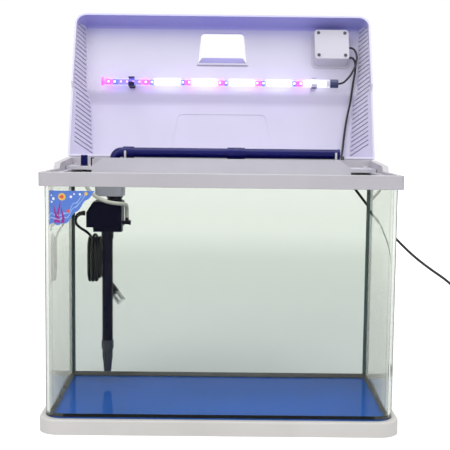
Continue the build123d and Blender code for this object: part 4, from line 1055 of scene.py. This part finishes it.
def grown(name, tree, points, edges, sizes, material):
    """The plain mesh that a tree makes on points and lines given in millimetres."""
    mesh = bpy.data.meshes.new(name + "_lines")
    mesh.from_pydata(in_metres(points), edges, [])
    carrier = placed(name + "_lines", mesh)
    modifier = carrier.modifiers.new("grow", "NODES")
    modifier.node_group = tree
    for item in tree.interface.items_tree:
        if item.in_out == "INPUT" and item.name in sizes:
            modifier[item.identifier] = sizes[item.name] * MM
        if item.in_out == "INPUT" and item.name == "Finish":
            modifier[item.identifier] = material
    bpy.context.view_layer.update()
    seen = carrier.evaluated_get(bpy.context.evaluated_depsgraph_get())
    plain = bpy.data.meshes.new_from_object(seen)
    plain.name = name
    bpy.data.objects.remove(carrier)
    return placed(name, plain)


bars = bar_tree()
domes = dome_tree()

# The closed hood's own levels: its rim, and the panel with a step across its middle
half_width = 255.0
half_depth = 130.0
wall = 3.0
side_lean = math.tan(math.radians(23.5))
step_front_y = -7.0
step_rear_y = 9.0
rim_front_z = 373.4
rim_step = 8.0
rim_rear_rise = 5.0
panel_front_z = 416.0
panel_step = 14.0
panel_front_slope = math.tan(math.radians(5.9))
panel_rear_slope = math.tan(math.radians(9))


def rim_level(y):
    if y <= 0:
        return rim_front_z
    if y < step_rear_y:
        return rim_front_z + rim_step * y / step_rear_y
    rise = rim_rear_rise * (y - step_rear_y) / (half_depth - step_rear_y)
    return rim_front_z + rim_step + rise


def panel_level(y):
    if y <= step_front_y:
        return panel_front_z + (y + half_depth) * panel_front_slope
    foot = panel_level(step_front_y)
    if y < step_rear_y:
        return foot + panel_step * (y - step_front_y) / (step_rear_y - step_front_y)
    return foot + panel_step + (y - step_rear_y) * panel_rear_slope


# Vents: a louvre in the thickness of each slot, in a darker grey that is painted shade of the slot
vent_count = 28
vent_pitch = 8.0
vent_first_y = 13.0 - half_depth
vent_above_rim = 12.2
vent_below_panel = 5.2


def make_louvres():
    points = []
    edges = []
    for side in (-1, 1):
        for i in range(vent_count):
            y = vent_first_y + i * vent_pitch
            for z in (rim_level(y) + vent_above_rim, panel_level(y) - vent_below_panel):
                x = half_width - max(0.0, z - hinge_z) * side_lean - wall / 2
                points.append(hood_opened((side * x, y, z)))
            edges.append((len(points) - 2, len(points) - 1))
    sizes = {"Width": 1.4, "Thickness": 1.9}
    piece = grown("vent_louvres", bars, points, edges, sizes, louvre_shade_grey)
    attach(piece, "hood")


make_louvres()

# Feed opening: the lip below the sill and, beside it, a dark strip that is the lip's painted
# shadow, on the panel's inner face
feed_sill_y = -61.0
lip_half_width = 44.5
lip_below_panel = 0.7


def make_feed_lip():
    strips = ((2.6, 2.4, "feed_lip", hood_plastic), (4.9, 0.5, "feed_lip_shade", louvre_shade_grey))
    for offset, thickness, name, material in strips:
        y = feed_sill_y + offset
        z = panel_level(y) - wall - lip_below_panel
        ends = [hood_opened((side * lip_half_width, y, z)) for side in (-1, 1)]
        sizes = {"Width": 1.6, "Thickness": thickness}
        piece = grown(name, bars, ends, [(0, 1)], sizes, material)
        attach(piece, "hood")


make_feed_lip()

# Right tube clip: a dark grip along the tip of each jaw
tube_y = -15.8
tube_z = 404.0
grip_x = (154.0, 162.6)
grip_reach = 8.8
grip_angles = (-8, 188)


def make_clip_grips():
    points = []
    for angle in grip_angles:
        turn = math.radians(angle)
        y = tube_y + grip_reach * math.cos(turn)
        z = tube_z + grip_reach * math.sin(turn)
        points += [hood_opened((x, y, z)) for x in grip_x]
    sizes = {"Width": 1.8, "Thickness": 2.4}
    piece = grown("clip_grips", bars, points, [(0, 1), (2, 3)], sizes, pipe_navy)
    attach(piece, "hood")


make_clip_grips()

# Light: a hot dome on each chip
dome_z = 404.5
dome_radius = 1.3
lens_kinds = {
    "P": ("pink", chip_pink),
    "B": ("blue", chip_blue),
    "V": ("violet", chip_violet),
    "W": ("white", chip_white),
}


def make_lenses():
    for kind, (colour_name, material) in lens_kinds.items():
        points = [
            hood_opened((chip_first_x + i * chip_pitch, tube_y, dome_z))
            for i, letter in enumerate(chip_pattern)
            if letter == kind
        ]
        name = "chip_lenses_" + colour_name
        piece = grown(name, domes, points, [], {"Radius": dome_radius}, material)
        smooth(piece, angle=80)
        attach(piece, "hood")


make_lenses()


# Sticker: a thin printed film round the upper left corner of the front glass.
# Each layer of the print has its own lift off the glass.

glass_front_y = -126.0
corner_x = -223.0
corner_y = -98.0
corner_radius = 28.0
film_left = -242.6
film_length = 66.2
film_steps = 60
film_top = 347.0
film_low = 300.0
film_rise_start = -218.0
film_rise_run = 42.0
film_lift = 0.15
wave_lift = 0.22
disc_lift = 0.24
weed_lift = 0.26
star_lift = 0.30
wave_height = 1.6
edge_wave_rate = 0.42
edge_wave_end = 0.96
wave_rate = 0.6
weed_width = 4.2
weed_tip = 0.1
weed_taper = 0.7
weed_bend = 5.2
weed_rows = 14


def film_point(u, z, lift):
    """A place on the film: u runs along the glass, lift stands off it."""
    if u >= corner_x:
        return (u, glass_front_y - lift, z)
    angle = (corner_x - u) / corner_radius
    reach = corner_radius + lift
    return (corner_x - reach * math.sin(angle), corner_y - reach * math.cos(angle), z)


def film_edge(u):
    """The film's lower edge: level at the left, then up in waves to the top corner."""
    rise = max(0.0, (u - film_rise_start) / film_rise_run)
    level = film_low + (film_top - film_low) * min(1.0, rise)
    if rise < edge_wave_end:
        level += wave_height * math.sin(u * edge_wave_rate)
    return level


def film_band(columns, low_edge, high_edge, lift, rows=1):
    """Points and faces of a band between two edges given as functions of u."""
    points = []
    faces = []
    for u in columns:
        for k in range(rows + 1):
            z = low_edge(u) + (high_edge(u) - low_edge(u)) * k / rows
            points.append(film_point(u, z, lift))
    step = rows + 1
    for i in range(len(columns) - 1):
        for k in range(rows):
            a = i * step + k
            faces.append((a, a + step, a + step + 1, a + 1))
    return points, faces


def film_disc(u, z, radius, lift, sides=20):
    """Points and faces of a disc, or of a shape with few sides."""
    points = [film_point(u, z, lift)]
    for k in range(sides):
        angle = 2 * math.pi * k / sides
        points.append(film_point(u + radius * math.cos(angle), z + radius * math.sin(angle), lift))
    faces = [(0, 1 + k, 1 + (k + 1) % sides) for k in range(sides)]
    return points, faces


def film_weed(u, z, height, sway):
    """A swaying weed: a tapered ribbon that bends as it rises."""
    points = []
    for k in range(weed_rows + 1):
        share = k / weed_rows
        half = weed_width / 2 * (1 - share) ** weed_taper + weed_tip
        middle = u + sway * math.sin(share * weed_bend)
        for side in (-1, 1):
            points.append(film_point(middle + side * half, z + height * share, weed_lift))
    faces = [(2 * k, 2 * k + 1, 2 * k + 3, 2 * k + 2) for k in range(weed_rows)]
    return points, faces


def print_piece(name, parts, finish_name, colour):
    """One layer of the print as one mesh, its faces all outward."""
    points = []
    faces = []
    for part_points, part_faces in parts:
        first = len(points)
        points += part_points
        faces += [tuple(first + k for k in face) for face in part_faces]
    mesh = bpy.data.meshes.new(name)
    mesh.from_pydata(in_metres(points), [], faces)
    film = moulded(
        finish_name, colour, roughness=0.34, grain=2600.0, depth=0.00001, drift=0.06
    )
    mesh.materials.append(film)
    piece = placed(name, mesh)
    for face in mesh.polygons:
        face.use_smooth = True
    if sum(face.normal.y for face in mesh.polygons) > 0:
        mesh.flip_normals()
    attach(piece, "root")


def make_sticker():
    columns = [film_left + film_length * i / film_steps for i in range(film_steps + 1)]
    back = film_band(columns, film_edge, lambda u: film_top, film_lift, rows=5)
    print_piece("sticker_film", [back], "film_blue", paint(84, 122, 206))
    waves = []
    for level, swing in ((7.0, 1.0), (12.5, 1.3)):
        waves.append(
            film_band(
                [u for u in columns if film_edge(u) + level + 5 < film_top],
                lambda u: film_edge(u) + level + swing * math.sin(u * wave_rate + level),
                lambda u: film_edge(u)
                + level
                + wave_height
                + swing * math.sin(u * wave_rate + level + 0.5),
                wave_lift,
            )
        )
    print_piece("sticker_waves", waves, "film_pale_blue", paint(156, 186, 236))
    bubbles = [
        film_disc(u, z, radius, disc_lift)
        for u, z, radius in (
            (-237.5, 331.0, 1.5),
            (-234.6, 335.6, 2.1),
            (-238.2, 340.2, 1.2),
            (-209.5, 338.6, 1.8),
            (-205.0, 342.4, 1.2),
            (-197.0, 342.2, 1.6),
        )
    ]
    print_piece("sticker_bubbles", bubbles, "film_white", paint(236, 240, 246))
    weeds = [
        film_weed(u, film_low + 2.0, height, sway)
        for u, height, sway in ((-232.0, 25.0, 1.5), (-226.5, 31.0, -1.7), (-221.5, 22.0, 1.3))
    ]
    print_piece("sticker_weeds", weeds, "film_magenta", paint(150, 26, 132))
    shells = [
        film_disc(-222.0, 338.5, 5.2, disc_lift, sides=28),
        film_disc(-188.5, 343.0, 2.4, disc_lift),
    ]
    print_piece("sticker_shells", shells, "film_yellow", paint(228, 190, 84))
    stars = [
        film_disc(-222.0, 338.5, 3.0, star_lift, sides=5),
        film_disc(-213.5, 318.5, 2.6, star_lift, sides=5),
    ]
    print_piece("sticker_stars", stars, "film_orange", paint(222, 84, 52))


make_sticker()


# Floor, backdrop and light

floor_half = 9.0
floor_grey = (0.88, 0.88, 0.88, 1)
# The floor keeps the tank's shadow near by and fades to white from the first reach to the second
lift_reach = (0.7, 2.6)
lift_near = 0.36
lift_far = 1.0


def make_floor():
    corners = [(-1, -1), (1, -1), (1, 1), (-1, 1)]
    mesh = bpy.data.meshes.new("studio_floor")
    mesh.from_pydata(
        [(x * floor_half, y * floor_half, 0) for x, y in corners], [], [(0, 1, 2, 3)]
    )
    material, tree, shader, place = new_finish("studio_floor")
    shader.inputs["Base Color"].default_value = floor_grey
    shader.inputs["Roughness"].default_value = 0.9
    shader.inputs["Specular IOR Level"].default_value = 0.1
    rays = tree.nodes.new("ShaderNodeLightPath").outputs
    seen = combined(tree, "MAXIMUM", rays["Is Camera Ray"], rays["Is Transmission Ray"])
    far = tree.nodes.new("ShaderNodeVectorMath")
    far.operation = "LENGTH"
    tree.links.new(place, far.inputs[0])
    away = share_of(tree, far.outputs["Value"], *lift_reach)
    lift = combined(tree, "MULTIPLY", seen, spread(tree, away, lift_near, lift_far))
    shader.inputs["Emission Color"].default_value = (1, 1, 1, 1)
    tree.links.new(lift, shader.inputs["Emission Strength"])
    mesh.materials.append(material)
    floor = placed("studio_floor", mesh)


def make_world():
    """Soft light from all round. The camera, glass and gloss see plain white in its place."""
    world = bpy.data.worlds.new("studio")
    bpy.context.scene.world = world
    world.use_nodes = True
    tree = world.node_tree
    seen_white = tree.nodes["Background"]
    seen_white.inputs["Color"].default_value = (1, 1, 1, 1)
    seen_white.inputs["Strength"].default_value = 1.0
    soft = tree.nodes.new("ShaderNodeBackground")
    soft.inputs["Color"].default_value = (0.97, 0.98, 1.0, 1)
    soft.inputs["Strength"].default_value = 0.55
    rays = tree.nodes.new("ShaderNodeLightPath").outputs
    seen = combined(tree, "MAXIMUM", rays["Is Camera Ray"], rays["Is Transmission Ray"])
    seen = combined(tree, "MAXIMUM", seen, rays["Is Glossy Ray"])
    mix = tree.nodes.new("ShaderNodeMixShader")
    tree.links.new(seen, mix.inputs["Fac"])
    tree.links.new(soft.outputs["Background"], mix.inputs[1])
    tree.links.new(seen_white.outputs["Background"], mix.inputs[2])
    tree.links.new(mix.outputs["Shader"], tree.nodes["World Output"].inputs["Surface"])


def make_lamp(name, place, target, size, power):
    data = bpy.data.lights.new(name, "AREA")
    data.shape = "SQUARE"
    data.size = size
    data.energy = power
    lamp = placed(name, data)
    lamp.location = place
    lamp.rotation_euler = (Vector(target) - Vector(place)).to_track_quat("-Z", "Y").to_euler()


make_floor()
make_world()
make_lamp("lamp_front_left", (-1.6, -2.2, 2.0), (0, 0, 0.3), size=1.8, power=26)
make_lamp("lamp_front_right", (1.9, -1.8, 1.5), (0, 0, 0.3), size=1.6, power=13)
make_lamp("lamp_above", (0, -0.2, 2.6), (0, 0.1, 0.3), size=2.0, power=34)
bpy.context.scene.view_settings.view_transform = "Standard"
